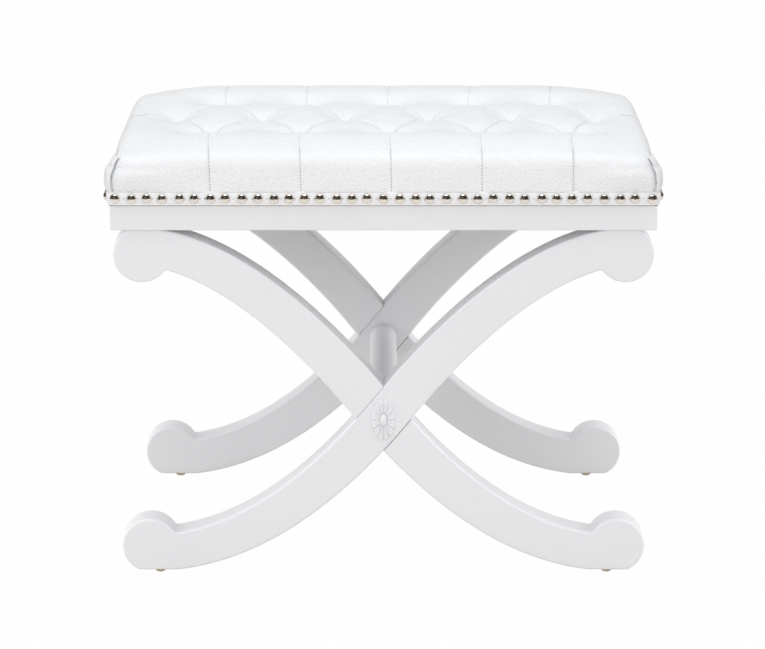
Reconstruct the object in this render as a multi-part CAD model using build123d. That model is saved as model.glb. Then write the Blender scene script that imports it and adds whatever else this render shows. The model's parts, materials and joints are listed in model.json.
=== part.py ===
from build123d import *
import math
import os

# Bench with a diamond-tufted seat on two X-shaped leg frames.
# Millimetres. X runs along the seat, Y from front (-) to back (+), Z up from the floor.

# Seat frame and seat board
seat_width = 610.0
seat_depth = 410.0
rail_height = 28.0
rail_width = 40.0
rail_edge_radius = 1.5
deck_thickness = 16.0
deck_corner_radius = 6.0

# Legs
leg_rise = 401.0
leg_thickness = 35.0
leg_setback = 5.0
leg_width_middle = 49.0
leg_width_end = 44.0
crossing_height = 180.0
leg_top_inset = 34.0
leg_foot_inset = 38.0
upper_bend = 1.74
lower_bend = 2.02
scroll_radius = 32.0
flat_cut = 3.0
flat_overrun = 1.6
neck_radius = 4.0
flat_corner_radius = 8.0
leg_edge_radius = 2.5
lap_clearance = 0.2
curve_steps = 7
curve_end = 0.97

# Glides
glide_height = 7.0
glide_diameter = 14.0
glide_flat_diameter = 6.0
glide_pin_diameter = 3.0
glide_pin_length = 14.0
glide_inset = 10.0

# Stretcher and crossing bolts
stretcher_diameter = 32.0
spigot_diameter = 20.0
spigot_length = 8.0
cross_bolt_diameter = 8.0
cross_bolt_head_diameter = 14.0
cross_bolt_head_height = 6.0
cross_bolt_recess = 8.0
stretcher_insert_diameter = 12.0
stretcher_insert_length = 25.0

# Rosettes
rosette_width = 29.0
rosette_height = 51.0
rosette_petals = 12
petal_root_radius = 1.6
petal_radius_long = 4.2
petal_radius_side = 4.8
petal_sink = 1.4
boss_radius = 6.0
boss_rise = 4.6

# Leg bolts and inserts
leg_bolt_diameter = 6.0
leg_bolt_head_diameter = 12.0
leg_bolt_head_height = 5.0
leg_bolt_recess = 7.0
leg_bolt_reach = 14.0
leg_bolt_spacing = 18.0
leg_insert_diameter = 10.0
leg_insert_length = 16.0
bolt_clearance = 0.2

# Corner blocks and screws
block_leg = 65.0
block_tip = 8.0
block_height = 24.0
screw_diameter = 4.0
screw_head_diameter = 8.0
screw_head_height = 3.0
block_screw_offset = 40.0
block_screw_recess = 6.0
block_screw_reach = 16.0
deck_screw_offset = 20.0
deck_screw_recess = 5.0
deck_screw_reach = 10.0

# Pad
pad_height = 53.0
pad_overhang = 2.0
pad_lean = 3.0
pad_corner_radius = 20.0
pad_shoulder_radius = 14.0
pad_drawn_radius = 5.0
crown_fall = 14.0
crown_reach = 95.0
crown_back_share = 0.5
crown_columns = 33
crown_rows = 23
crown_margin = 6.0
cover_thickness = 1.5
foam_inset = 12.0
foam_height = 22.0
foam_edge_radius = 8.0

# Tufts
tufts_across = 6
tuft_spacing = 99.0
tuft_row_pitch = 80.0
tuft_depth = 24.0
pleat_depth = 9.0
pleat_reach = 34.0
pleat_lip = 1.4
pleat_swell = 0.26
edge_pleat_depth = 2.0
edge_pleat_reach = 20.0
edge_pleat_lip = 6.0
edge_pleat_fade = 3.0
side_pleat_depth = 3.5
side_pleat_reach = 14.0
tuft_reach = 36.0
button_diameter = 14.0
button_height = 5.0
button_clearance = 0.8
tie_diameter = 2.4
tie_hole_diameter = 3.0
knot_diameter = 9.0
knot_height = 4.0
knot_recess = 5.0

# Trim
band_height = 16.0
band_thickness = 1.5
band_lift = 1.0
nail_diameter = 11.2
nail_rise = 4.2
nail_pitch = 17.5
nail_end_gap = 7.0

# Dust cover
dust_thickness = 0.8
dust_margin = 2.0

# Heights
z_foot = glide_height
z_leg_top = z_foot + leg_rise
z_rail_top = z_leg_top + rail_height
z_deck_top = z_rail_top + deck_thickness
z_crown = z_deck_top + pad_height
z_foam_top = z_deck_top + foam_height
z_tuft = z_crown - tuft_depth
z_cross = z_foot + crossing_height
z_band = z_rail_top + band_lift
z_nail = z_band + band_height / 2

# Plan positions
half_width = seat_width / 2
half_depth = seat_depth / 2
upper_reach = half_width - leg_top_inset
lower_reach = half_width - leg_foot_inset
leg_face = half_depth - leg_setback
leg_inner = leg_face - leg_thickness
leg_middle = leg_face - leg_thickness / 2
inner_x = half_width - rail_width
inner_y = half_depth - rail_width
wall_x = half_width + pad_overhang
wall_y = half_depth + pad_overhang
glide_x = lower_reach - glide_inset
bolt_xs = (upper_reach - leg_bolt_spacing / 2 - flat_cut, upper_reach + leg_bolt_spacing / 2 - flat_cut)


def cylinder_along(axis, start, radius, length):
    """Round bar that starts at a point and runs along a direction."""
    return extrude(Plane(origin=start, z_dir=axis) * Circle(radius), length)


def dome_arc(radius, base, rise):
    """Arc from the rim of a round dome up to its top on the axis."""
    ball = (radius ** 2 + rise ** 2) / (2 * rise)
    half_angle = math.asin(radius / ball) / 2
    middle = (ball * math.sin(half_angle), base + rise - ball + ball * math.cos(half_angle))
    return ThreePointArc((radius, base), middle, (0, base + rise))


def quarters():
    """Signs of the four corners: front left, front right, back left, back right."""
    return {"front_left": (-1, -1), "front_right": (1, -1), "back_left": (-1, 1), "back_right": (1, 1)}


# Legs
def leg_centre(share, upper):
    """Point and upward normal on the middle line of a leg that rises to the right."""
    reach = upper_reach if upper else lower_reach
    bend = upper_bend if upper else lower_bend
    inset = leg_width_end / 2 - flat_overrun
    end_level = z_leg_top - inset if upper else z_foot + inset
    height = end_level - z_cross
    side = 1 if upper else -1
    x = side * reach * share
    z = z_cross + height * (1 - (1 - share) ** bend)
    slope = abs(height) / reach * bend * (1 - share) ** (bend - 1)
    length = math.hypot(1, slope)
    return (x, z), (-slope / length, 1 / length)


def leg_edges(grow):
    """Points of the upper and the lower edge of a leg, from foot to top, each moved out by a small amount."""
    shares = [curve_end * i / curve_steps for i in range(curve_steps + 1)]
    stations = [(share, False) for share in reversed(shares[1:])] + [(share, True) for share in shares]
    above = []
    below = []
    for share, upper in stations:
        (x, z), (nx, nz) = leg_centre(share, upper)
        half = (leg_width_middle + (leg_width_end - leg_width_middle) * share) / 2 + grow
        above.append((x + nx * half, z + nz * half))
        below.append((x - nx * half, z - nz * half))
    return above, below


def leg_strip(grow):
    """The S-shaped strip of a leg that rises to the right, without its scrolls."""
    above, below = leg_edges(grow)
    top = Spline(*above)
    bottom = Spline(*below)
    return make_face([top, Line(above[-1], below[-1]), bottom, Line(below[0], above[0])])


def leg_profile():
    """Outline of a leg that rises to the right, with its scroll ends cut flat at the seat and the floor."""
    scroll_top = Pos(upper_reach, z_leg_top - scroll_radius + flat_cut) * Circle(scroll_radius)
    scroll_foot = Pos(-lower_reach, z_foot + scroll_radius - flat_cut) * Circle(scroll_radius)
    window = Pos(0, z_foot + leg_rise / 2) * Rectangle(3 * seat_width, leg_rise)
    return (leg_strip(0) + scroll_top + scroll_foot) & window


def leg_slab(outline, front, thickness):
    """A leg outline given thickness, from its front plane backwards."""
    plane = Plane(origin=(0, front, 0), x_dir=(1, 0, 0), z_dir=(0, -1, 0))
    return extrude(plane * outline, -thickness)


def neck_edges(solid):
    """The two inside corners where a scroll meets the leg."""
    runs = [e for e in solid.edges() if abs(e.tangent_at(0.5).Y) > 0.99]
    top_level = z_leg_top - leg_width_end
    foot_level = z_foot + leg_width_end
    necks = []
    for edge in runs:
        point = edge.center()
        at_top = 0 < point.X < upper_reach and abs(point.Z - top_level) < leg_width_end / 4
        at_foot = -lower_reach < point.X < 0 and abs(point.Z - foot_level) < leg_width_end / 4
        if at_top or at_foot:
            necks.append(edge)
    return necks


def flat_corners(solid):
    """The corners where the flats for the seat and the floor begin and end."""
    runs = [e for e in solid.edges() if abs(e.tangent_at(0.5).Y) > 0.99]
    return [e for e in runs if min(abs(e.center().Z - z_foot), abs(e.center().Z - z_leg_top)) < 0.01]


def shaped_leg():
    """Full leg of the front X with eased edges, before its joints are cut."""
    slab = leg_slab(leg_profile(), -leg_face, leg_thickness)
    slab = fillet(neck_edges(slab), neck_radius)
    slab = fillet(flat_corners(slab), flat_corner_radius)
    faces = [f for f in slab.faces() if abs(f.normal_at().Y) > 0.99]
    rims = [e for f in faces for e in f.edges()]
    return fillet(rims, leg_edge_radius)


def leg_bolt_points(side, face_sign):
    """Bolt centres over the top of the leg on one side of one X."""
    return [(side * x, face_sign * leg_middle) for x in bolt_xs]


def front_legs():
    """The two halved legs of the front X: the one rising to the right is whole on the outer face."""
    rising = shaped_leg()
    falling = mirror(rising, about=Plane.YZ)
    housing = leg_strip(lap_clearance)
    rising -= mirror(leg_slab(housing, -leg_middle, leg_thickness), about=Plane.YZ)
    falling -= leg_slab(housing, -leg_middle - leg_thickness, leg_thickness)
    head_seat = -leg_face + cross_bolt_recess
    shank = cylinder_along((0, 1, 0), (0, -leg_face, z_cross), cross_bolt_diameter / 2 + bolt_clearance, leg_thickness)
    head = cylinder_along(
        (0, 1, 0), (0, -leg_face, z_cross), cross_bolt_head_diameter / 2 + bolt_clearance, head_seat + leg_face
    )
    rising -= [shank, head]
    socket = cylinder_along((0, -1, 0), (0, -leg_inner, z_cross), spigot_diameter / 2, spigot_length)
    falling -= [shank, socket]
    finished = []
    for leg, side in ((rising, 1), (falling, -1)):
        for x, y in leg_bolt_points(side, -1):
            leg -= cylinder_along((0, 0, -1), (x, y, z_leg_top), leg_insert_diameter / 2, leg_insert_length)
        pin_at = (-side * glide_x, -leg_middle, z_foot)
        leg -= cylinder_along((0, 0, 1), pin_at, glide_pin_diameter / 2, glide_pin_length)
        finished.append(leg)
    return finished


# Stretcher, bolts and rosettes
def stretcher():
    """Round bar between the crossings, with a spigot and a bolt socket at each end."""
    bar = cylinder_along((0, 1, 0), (0, -leg_inner, z_cross), stretcher_diameter / 2, 2 * leg_inner)
    spigot_end = leg_inner + spigot_length
    bar += cylinder_along((0, 1, 0), (0, -spigot_end, z_cross), spigot_diameter / 2, 2 * spigot_end)
    for sign in (-1, 1):
        start = (0, sign * spigot_end, z_cross)
        bar -= cylinder_along((0, -sign, 0), start, stretcher_insert_diameter / 2, stretcher_insert_length)
    return bar


def front_cross_bolt():
    """Bolt through the front crossing into the stretcher."""
    seat = -leg_face + cross_bolt_recess
    tip = -leg_inner - spigot_length + stretcher_insert_length
    bolt = cylinder_along((0, 1, 0), (0, seat, z_cross), cross_bolt_diameter / 2, tip - seat)
    head_start = (0, seat - cross_bolt_head_height, z_cross)
    return bolt + cylinder_along((0, 1, 0), head_start, cross_bolt_head_diameter / 2, cross_bolt_head_height)


def front_stretcher_insert():
    """Threaded sleeve in the front end of the stretcher."""
    start = (0, -leg_inner - spigot_length, z_cross)
    sleeve = cylinder_along((0, 1, 0), start, stretcher_insert_diameter / 2, stretcher_insert_length)
    return sleeve - cylinder_along((0, 1, 0), start, cross_bolt_diameter / 2, stretcher_insert_length)


def rosette_petal(turn):
    """One teardrop petal, from the middle of the flower out to the oval."""
    tip_x = rosette_width / 2 * math.sin(turn)
    tip_y = rosette_height / 2 * math.cos(turn)
    length = math.hypot(tip_x, tip_y)
    round_end = petal_radius_long + (petal_radius_side - petal_radius_long) * abs(math.sin(turn))
    shoulder = length - round_end
    bend = math.sqrt(0.5) * round_end
    outline = make_face([
        Line((0, 0), (petal_root_radius, 0)),
        Line((petal_root_radius, 0), (round_end, shoulder)),
        ThreePointArc((round_end, shoulder), (bend, shoulder + bend), (0, length)),
        Line((0, length), (0, 0)),
    ])
    heading = -math.degrees(math.atan2(tip_x, tip_y))
    return Pos(0, 0, -petal_sink) * Rot(0, 0, heading) * revolve(outline, Axis.Y)


def rosette():
    """Oval flower, lying on the plane Z = 0 with its long way along Y."""
    petals = [rosette_petal(2 * math.pi * i / rosette_petals) for i in range(rosette_petals)]
    boss = Pos(0, 0, boss_rise - boss_radius) * Sphere(boss_radius)
    flower = petals[0] + petals[1:] + boss
    return split(flower, Plane.XY, keep=Keep.TOP)


def front_rosette():
    """The flower glued on the outer face of the front crossing."""
    return Plane(origin=(0, -leg_face, z_cross), x_dir=(1, 0, 0), z_dir=(0, -1, 0)).location * rosette()


# Seat frame
def long_rail():
    """Front rail, full length of the seat, with recessed holes for the leg bolts."""
    rail = Pos(0, -half_depth + rail_width / 2, z_leg_top + rail_height / 2) * Box(seat_width, rail_width, rail_height)
    outer = [e for e in rail.edges() if e.center().Y < -half_depth + 1 and e.center().Z < z_rail_top - 1]
    ends = [e for e in rail.edges() if e.center().Z < z_leg_top + 1 and abs(e.center().X) > half_width - 1]
    rail = fillet(outer + ends, rail_edge_radius)
    for side in (-1, 1):
        for x, y in leg_bolt_points(side, -1):
            rail -= cylinder_along((0, 0, 1), (x, y, z_leg_top), leg_bolt_diameter / 2 + bolt_clearance, rail_height)
            seat = (x, y, z_rail_top - leg_bolt_recess)
            rail -= cylinder_along((0, 0, 1), seat, leg_bolt_head_diameter / 2 + bolt_clearance, leg_bolt_recess)
        x = side * (inner_x - block_screw_offset)
        start = (x, -inner_y, z_leg_top + rail_height - block_height / 2)
        rail -= cylinder_along((0, -1, 0), start, screw_diameter / 2, block_screw_reach)
    return rail


def left_rail():
    """Left rail, between the front and the back rail."""
    rail = Pos(-half_width + rail_width / 2, 0, z_leg_top + rail_height / 2) * Box(rail_width, 2 * inner_y, rail_height)
    outer = [e for e in rail.edges() if e.center().X < -half_width + 1 and e.center().Z < z_leg_top + 1]
    rail = fillet(outer, rail_edge_radius)
    for side in (-1, 1):
        start = (-inner_x, side * (inner_y - block_screw_offset), z_leg_top + rail_height - block_height / 2)
        rail -= cylinder_along((-1, 0, 0), start, screw_diameter / 2, block_screw_reach)
    return rail


def corner_block():
    """Glue block of the front left corner, drilled for its three screws."""
    plan = Polyline(
        (-inner_x, -inner_y),
        (-inner_x + block_leg, -inner_y),
        (-inner_x + block_leg, -inner_y + block_tip),
        (-inner_x + block_tip, -inner_y + block_leg),
        (-inner_x, -inner_y + block_leg),
        close=True,
    )
    block = extrude(Pos(0, 0, z_rail_top - block_height) * make_face(plan), block_height)
    for solid in (block_screw_front(screw_diameter), block_screw_side(screw_diameter), deck_screw(screw_diameter)):
        block -= solid
    for start, axis, depth in screw_recesses():
        block -= cylinder_along(axis, start, screw_head_diameter / 2 + bolt_clearance, depth)
    return block


def block_screw_seat():
    """Distance of a block screw's head seat from the rail's inner face."""
    return block_leg + block_tip - block_screw_offset - block_screw_recess


def screw_recesses():
    """Recesses for the screw heads of the front left corner block."""
    level = z_rail_top - block_height / 2
    seat = block_screw_seat()
    front = ((-inner_x + block_screw_offset, -inner_y + seat, level), (0, 1, 0), block_leg)
    side = ((-inner_x + seat, -inner_y + block_screw_offset, level), (1, 0, 0), block_leg)
    low = z_rail_top - block_height
    deck = ((-inner_x + deck_screw_offset, -inner_y + deck_screw_offset, low), (0, 0, 1), deck_screw_recess)
    return front, side, deck


def block_screw_front(diameter):
    """Screw from the front left block into the front rail."""
    level = z_rail_top - block_height / 2
    seat = (-inner_x + block_screw_offset, -inner_y + block_screw_seat(), level)
    shank = cylinder_along((0, -1, 0), seat, diameter / 2, block_screw_seat() + block_screw_reach)
    return shank + cylinder_along((0, 1, 0), seat, screw_head_diameter / 2, screw_head_height)


def block_screw_side(diameter):
    """Screw from the front left block into the left rail."""
    level = z_rail_top - block_height / 2
    seat = (-inner_x + block_screw_seat(), -inner_y + block_screw_offset, level)
    shank = cylinder_along((-1, 0, 0), seat, diameter / 2, block_screw_seat() + block_screw_reach)
    return shank + cylinder_along((1, 0, 0), seat, screw_head_diameter / 2, screw_head_height)


def deck_screw(diameter):
    """Screw from below through the front left block into the seat board."""
    seat = (-inner_x + deck_screw_offset, -inner_y + deck_screw_offset, z_rail_top - block_height + deck_screw_recess)
    reach = block_height - deck_screw_recess + deck_screw_reach
    shank = cylinder_along((0, 0, 1), seat, diameter / 2, reach)
    return shank + cylinder_along((0, 0, -1), seat, screw_head_diameter / 2, screw_head_height)


def mirrored_corner(solid, sx, sy):
    """Move a front left piece to another corner by mirroring it."""
    if sx > 0:
        solid = mirror(solid, about=Plane.YZ)
    if sy > 0:
        solid = mirror(solid, about=Plane.XZ)
    return solid


def leg_bolt(x, y):
    """Bolt from inside a rail down into a leg top."""
    seat = (x, y, z_rail_top - leg_bolt_recess)
    reach = rail_height - leg_bolt_recess + leg_bolt_reach
    bolt = cylinder_along((0, 0, -1), seat, leg_bolt_diameter / 2, reach)
    return bolt + cylinder_along((0, 0, 1), seat, leg_bolt_head_diameter / 2, leg_bolt_head_height)


def leg_insert(x, y):
    """Threaded sleeve in a leg top."""
    sleeve = cylinder_along((0, 0, -1), (x, y, z_leg_top), leg_insert_diameter / 2, leg_insert_length)
    return sleeve - cylinder_along((0, 0, -1), (x, y, z_leg_top), leg_bolt_diameter / 2, leg_insert_length)


def glide():
    """Domed glide of the front left foot, with its nail up into the leg."""
    radius = glide_diameter / 2
    flat = glide_flat_diameter / 2
    rim = glide_height * 0.62
    side = ThreePointArc((flat, 0), (radius * 0.84, rim * 0.36), (radius, rim))
    outline = [
        Line((0, 0), (flat, 0)),
        side,
        Line((radius, rim), (radius * 0.72, glide_height)),
        Line((radius * 0.72, glide_height), (glide_pin_diameter / 2, glide_height)),
        Line((glide_pin_diameter / 2, glide_height), (glide_pin_diameter / 2, glide_height + glide_pin_length)),
        Line((glide_pin_diameter / 2, glide_height + glide_pin_length), (0, glide_height + glide_pin_length)),
        Line((0, glide_height + glide_pin_length), (0, 0)),
    ]
    body = revolve(Plane.XZ * make_face(outline), Axis.Z)
    return Pos(-glide_x, -leg_middle, 0) * body


# Pad
def tuft_points():
    """Tuft positions in three rows, the outer two with one tuft fewer."""
    middle = [((i - (tufts_across - 1) / 2) * tuft_spacing, 0.0) for i in range(tufts_across)]
    outer = [((i - (tufts_across - 2) / 2) * tuft_spacing, tuft_row_pitch) for i in range(tufts_across - 1)]
    front = [(x, -y) for x, y in outer]
    return front, middle, outer


def all_tufts():
    """All tuft positions in one list."""
    front, middle, back = tuft_points()
    return front + middle + back


def groove_profile(reach, depth, lip):
    """Section of a pleat: two swelling flanks that meet in a crease."""
    shoulder = lip - (depth + lip) * pleat_swell
    left = ThreePointArc((-reach, lip), (-reach / 2, shoulder), (0, -depth))
    right = ThreePointArc((0, -depth), (reach / 2, shoulder), (reach, lip))
    return make_face([left, right, Line((reach, lip), (-reach, lip))])


def crown_level(x, y):
    """Level of the crowned top at a plan point: level in the middle, falling towards the edges."""
    across = max(0.0, 1 - (wall_x - abs(x)) / crown_reach) ** 2
    along = max(0.0, 1 - (wall_y - abs(y)) / crown_reach) ** 2
    if y > 0:
        along *= crown_back_share
    return z_crown - crown_fall * (1 - (1 - across) * (1 - along))


def under_crown():
    """All that lies under the crowned top, down to the seat board."""
    far_x = wall_x + crown_margin
    far_y = wall_y + crown_margin
    xs = [far_x * (2 * i / (crown_columns - 1) - 1) for i in range(crown_columns)]
    ys = [far_y * (2 * i / (crown_rows - 1) - 1) for i in range(crown_rows)]
    points = [[Vector(x, y, crown_level(x, y)) for y in ys] for x in xs]
    top = Face.make_surface_from_array_of_points(points)
    return Solid.extrude(top, Vector(0, 0, -2 * pad_height))


def groove(section, low, high):
    """A pleat's section carried along a straight line, with its mouth upwards."""
    run = high - low
    plane = Plane(origin=low, x_dir=(-run.Y, run.X, 0), z_dir=run)
    return extrude(plane * section, run.length)


def top_pleat(start, end):
    """Pleat of a diamond, from tuft to tuft."""
    section = groove_profile(pleat_reach, pleat_depth, pleat_lip)
    return groove(section, Vector(*start, crown_level(*start)), Vector(*end, crown_level(*end)))


def edge_pleat(tuft, edge):
    """Pleat from an outer tuft towards the edge, which fades out over the shoulder."""
    section = groove_profile(edge_pleat_reach, edge_pleat_depth, edge_pleat_lip)
    return groove(section, Vector(*tuft, crown_level(*tuft)), Vector(*edge, crown_level(*edge) + edge_pleat_fade))


def side_pleat(x, y, outward):
    """Pleat down a side of the pad, as steep as the side."""
    steep = (-outward[0] * pad_lean, -outward[1] * pad_lean, pad_height)
    plane = Plane(origin=(x, y, z_deck_top), x_dir=(outward[1], -outward[0], 0), z_dir=steep)
    section = groove_profile(side_pleat_reach, side_pleat_depth, pleat_lip)
    return extrude(plane * section, pad_height)


def pleats():
    """All the sewn pleats: diamonds, runs to the edges and down the sides."""
    front, middle, back = tuft_points()
    cuts = []
    for row in (front, back):
        for i, tuft in enumerate(row):
            sign = -1 if tuft[1] < 0 else 1
            cuts.append(top_pleat(tuft, middle[i]))
            cuts.append(top_pleat(tuft, middle[i + 1]))
            cuts.append(edge_pleat(tuft, (tuft[0], sign * wall_y)))
            cuts.append(side_pleat(tuft[0], sign * wall_y, (0, sign)))
    for tuft, sign in ((middle[0], -1), (middle[-1], 1)):
        cuts.append(edge_pleat(tuft, (sign * wall_x, tuft[1])))
        cuts.append(side_pleat(sign * wall_x, tuft[1], (sign, 0)))
    return cuts


def tuft_funnel(x, y):
    """Trumpet-shaped hollow round one tuft, with a well for its button."""
    well = button_diameter / 2 + button_clearance
    lip = z_crown + pleat_lip
    bend = ((well + tuft_reach) / 2 - 5.0, (z_tuft + lip) / 2 + 5.0)
    outline = [
        Line((0, z_tuft), (well, z_tuft)),
        ThreePointArc((well, z_tuft), bend, (tuft_reach, lip)),
        Line((tuft_reach, lip), (0, lip)),
        Line((0, lip), (0, z_tuft)),
    ]
    return Pos(x, y, 0) * revolve(Plane.XZ * make_face(outline), Axis.Z)


def foam_pad():
    """Foam slab with a hole for each tie."""
    width = seat_width - 2 * foam_inset
    depth = seat_depth - 2 * foam_inset
    slab = Pos(0, 0, z_deck_top + foam_height / 2) * Box(width, depth, foam_height)
    slab = fillet(slab.edges().filter_by(Axis.Z), pad_corner_radius - foam_inset / 2)
    slab = fillet(slab.faces().sort_by(Axis.Z)[-1].edges(), foam_edge_radius)
    return slab


def tie_holes(low, high):
    """Round holes for the ties between two levels."""
    return [cylinder_along((0, 0, 1), (x, y, low), tie_hole_diameter / 2, high - low) for x, y in all_tufts()]


def cover():
    """Leather cover with its wadding: crowned, drawn in at the deck, pleated and tufted."""
    foot = Pos(0, 0, z_deck_top) * RectangleRounded(2 * wall_x, 2 * wall_y, pad_corner_radius)
    pad = extrude(foot, pad_height + crown_margin, taper=math.degrees(math.atan(pad_lean / pad_height)))
    pad &= under_crown()
    pad = fillet(pad.faces().sort_by(Axis.Z)[-1].edges(), pad_shoulder_radius)
    pad = fillet(pad.faces().sort_by(Axis.Z)[0].edges(), pad_drawn_radius)
    wrap_height = deck_thickness - band_lift + cover_thickness
    wrap = RectangleRounded(
        seat_width + 2 * cover_thickness, seat_depth + 2 * cover_thickness, deck_corner_radius + cover_thickness
    )
    pad += extrude(Pos(0, 0, z_band) * wrap, wrap_height)
    pad -= [deck_blank(), foam_pad()] + tie_holes(z_deck_top, z_tuft)
    return pad - (pleats() + [tuft_funnel(x, y) for x, y in all_tufts()])


def deck_blank():
    """The seat board before drilling."""
    return extrude(Pos(0, 0, z_rail_top) * RectangleRounded(seat_width, seat_depth, deck_corner_radius), deck_thickness)


def deck():
    """Seat board with tie holes, knot recesses and screw holes."""
    board = deck_blank() - tie_holes(z_rail_top, z_deck_top)
    for x, y in all_tufts():
        board -= cylinder_along((0, 0, 1), (x, y, z_rail_top), knot_diameter / 2 + button_clearance, knot_recess)
    for sx, sy in quarters().values():
        board -= mirrored_corner(deck_screw(screw_diameter), sx, sy)
    return board


def button(x, y):
    """Leather-covered button in its tuft."""
    radius = button_diameter / 2
    rim = button_height * 0.4
    outline = [
        Line((0, z_tuft), (radius, z_tuft)),
        Line((radius, z_tuft), (radius, z_tuft + rim)),
        dome_arc(radius, z_tuft + rim, button_height - rim),
        Line((0, z_tuft + button_height), (0, z_tuft)),
    ]
    return Pos(x, y, 0) * revolve(Plane.XZ * make_face(outline), Axis.Z)


def tie(x, y):
    """Twine from a button through foam and board to its knot."""
    knot_top = z_rail_top + knot_recess
    twine = cylinder_along((0, 0, 1), (x, y, knot_top - knot_height), tie_diameter / 2, z_tuft - knot_top + knot_height)
    return twine + cylinder_along((0, 0, -1), (x, y, knot_top), knot_diameter / 2, knot_height)


# Trim
def band():
    """Leather strip round the lower edge of the pad."""
    grow = cover_thickness + band_thickness
    outer = RectangleRounded(seat_width + 2 * grow, seat_depth + 2 * grow, deck_corner_radius + grow)
    inner = RectangleRounded(
        seat_width + 2 * cover_thickness, seat_depth + 2 * cover_thickness, deck_corner_radius + cover_thickness
    )
    return extrude(Pos(0, 0, z_band) * (outer - inner), band_height)


def nail_head(position, outward):
    """Domed nail head that sits on the strip."""
    radius = nail_diameter / 2
    outline = make_face([Line((0, 0), (radius, 0)), dome_arc(radius, 0, nail_rise), Line((0, nail_rise), (0, 0))])
    head = revolve(Plane.XZ * outline, Axis.Z)
    return Plane(origin=position, z_dir=outward).location * head


def nail_row(sign, along_x):
    """One side's nail heads, an odd count with one in the middle."""
    half_length, half_across = (half_width, half_depth) if along_x else (half_depth, half_width)
    face = half_across + cover_thickness + band_thickness
    each_way = math.floor((half_length - nail_end_gap) / nail_pitch)
    heads = []
    for i in range(-each_way, each_way + 1):
        run = i * nail_pitch
        position = (run, sign * face, z_nail) if along_x else (sign * face, run, z_nail)
        outward = (0, sign, 0) if along_x else (sign, 0, 0)
        heads.append(nail_head(position, outward))
    return heads


def dust_cover():
    """Black cloth under the seat board, cut off at the corner blocks."""
    x = inner_x - dust_margin
    y = inner_y - dust_margin
    cut = block_leg + block_tip
    plan = Polyline(
        (-x, -y + cut), (-x, y - cut), (-x + cut, y), (x - cut, y), (x, y - cut), (x, -y + cut), (x - cut, -y), (-x + cut, -y),
        close=True,
    )
    return extrude(Pos(0, 0, z_rail_top - dust_thickness) * make_face(plan), dust_thickness)


def turned(solid):
    """A piece of the front X turned round to the back X."""
    return Rot(0, 0, 180) * solid


def all_pieces():
    """Every piece of the bench by name."""
    rising, falling = front_legs()
    corners = quarters()
    bolt_points = [p for side in (-1, 1) for sign in (-1, 1) for p in leg_bolt_points(side, sign)]
    block_screws = []
    for sx, sy in corners.values():
        block_screws.append(mirrored_corner(block_screw_front(screw_diameter), sx, sy))
        block_screws.append(mirrored_corner(block_screw_side(screw_diameter), sx, sy))
    pieces = {
        "front_leg_rising_right": rising,
        "front_leg_rising_left": falling,
        "back_leg_rising_right": turned(falling),
        "back_leg_rising_left": turned(rising),
        "stretcher": stretcher(),
        "cross_bolts": [front_cross_bolt(), turned(front_cross_bolt())],
        "stretcher_inserts": [front_stretcher_insert(), turned(front_stretcher_insert())],
        "rosette_front": front_rosette(),
        "rosette_back": turned(front_rosette()),
        "front_rail": long_rail(),
        "back_rail": turned(long_rail()),
        "left_rail": left_rail(),
        "right_rail": turned(left_rail()),
        "leg_bolts": [leg_bolt(x, y) for x, y in bolt_points],
        "leg_inserts": [leg_insert(x, y) for x, y in bolt_points],
        "block_screws": block_screws,
        "deck_screws": [mirrored_corner(deck_screw(screw_diameter), sx, sy) for sx, sy in corners.values()],
        "seat_deck": deck(),
        "foam_pad": foam_pad() - tie_holes(z_deck_top, z_foam_top),
        "tufted_cover": cover(),
        "tuft_buttons": [button(x, y) for x, y in all_tufts()],
        "tuft_ties": [tie(x, y) for x, y in all_tufts()],
        "trim_band": band(),
        "trim_nails_front": nail_row(-1, True),
        "trim_nails_back": nail_row(1, True),
        "trim_nails_left": nail_row(-1, False),
        "trim_nails_right": nail_row(1, False),
        "dust_cover": dust_cover(),
    }
    for name, (sx, sy) in corners.items():
        pieces["corner_block_" + name] = mirrored_corner(corner_block(), sx, sy)
        pieces["glide_" + name] = mirrored_corner(glide(), sx, sy)
    return pieces


def main():
    """Write each piece to its own file."""
    os.makedirs("parts", exist_ok=True)
    for name, piece in all_pieces().items():
        shape = Compound(children=piece) if isinstance(piece, list) else piece
        export_step(shape, "parts/" + name + ".step")


main()
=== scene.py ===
import json
import math

import bmesh
import bpy
import numpy as np
from bpy.props import FloatProperty, FloatVectorProperty, IntProperty, PointerProperty
from bpy.types import Operator, Panel, PropertyGroup
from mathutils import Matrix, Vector


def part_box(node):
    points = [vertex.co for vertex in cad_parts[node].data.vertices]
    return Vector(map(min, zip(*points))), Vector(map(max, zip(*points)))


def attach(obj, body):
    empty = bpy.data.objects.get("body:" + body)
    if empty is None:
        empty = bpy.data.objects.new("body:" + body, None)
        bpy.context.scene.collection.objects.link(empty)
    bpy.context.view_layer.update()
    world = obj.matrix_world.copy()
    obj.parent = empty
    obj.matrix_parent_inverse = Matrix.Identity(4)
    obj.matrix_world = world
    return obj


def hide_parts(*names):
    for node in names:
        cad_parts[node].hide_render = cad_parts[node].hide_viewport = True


bl_info = {
    "name": "Tufted bench",
    "version": (1, 0, 0),
    "blender": (4, 5, 0),
    "location": "View3D > Sidebar > Bench",
    "description": "Dresses the frame of a tufted bench in leather, paint and metal",
    "category": "Object",
}

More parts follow.
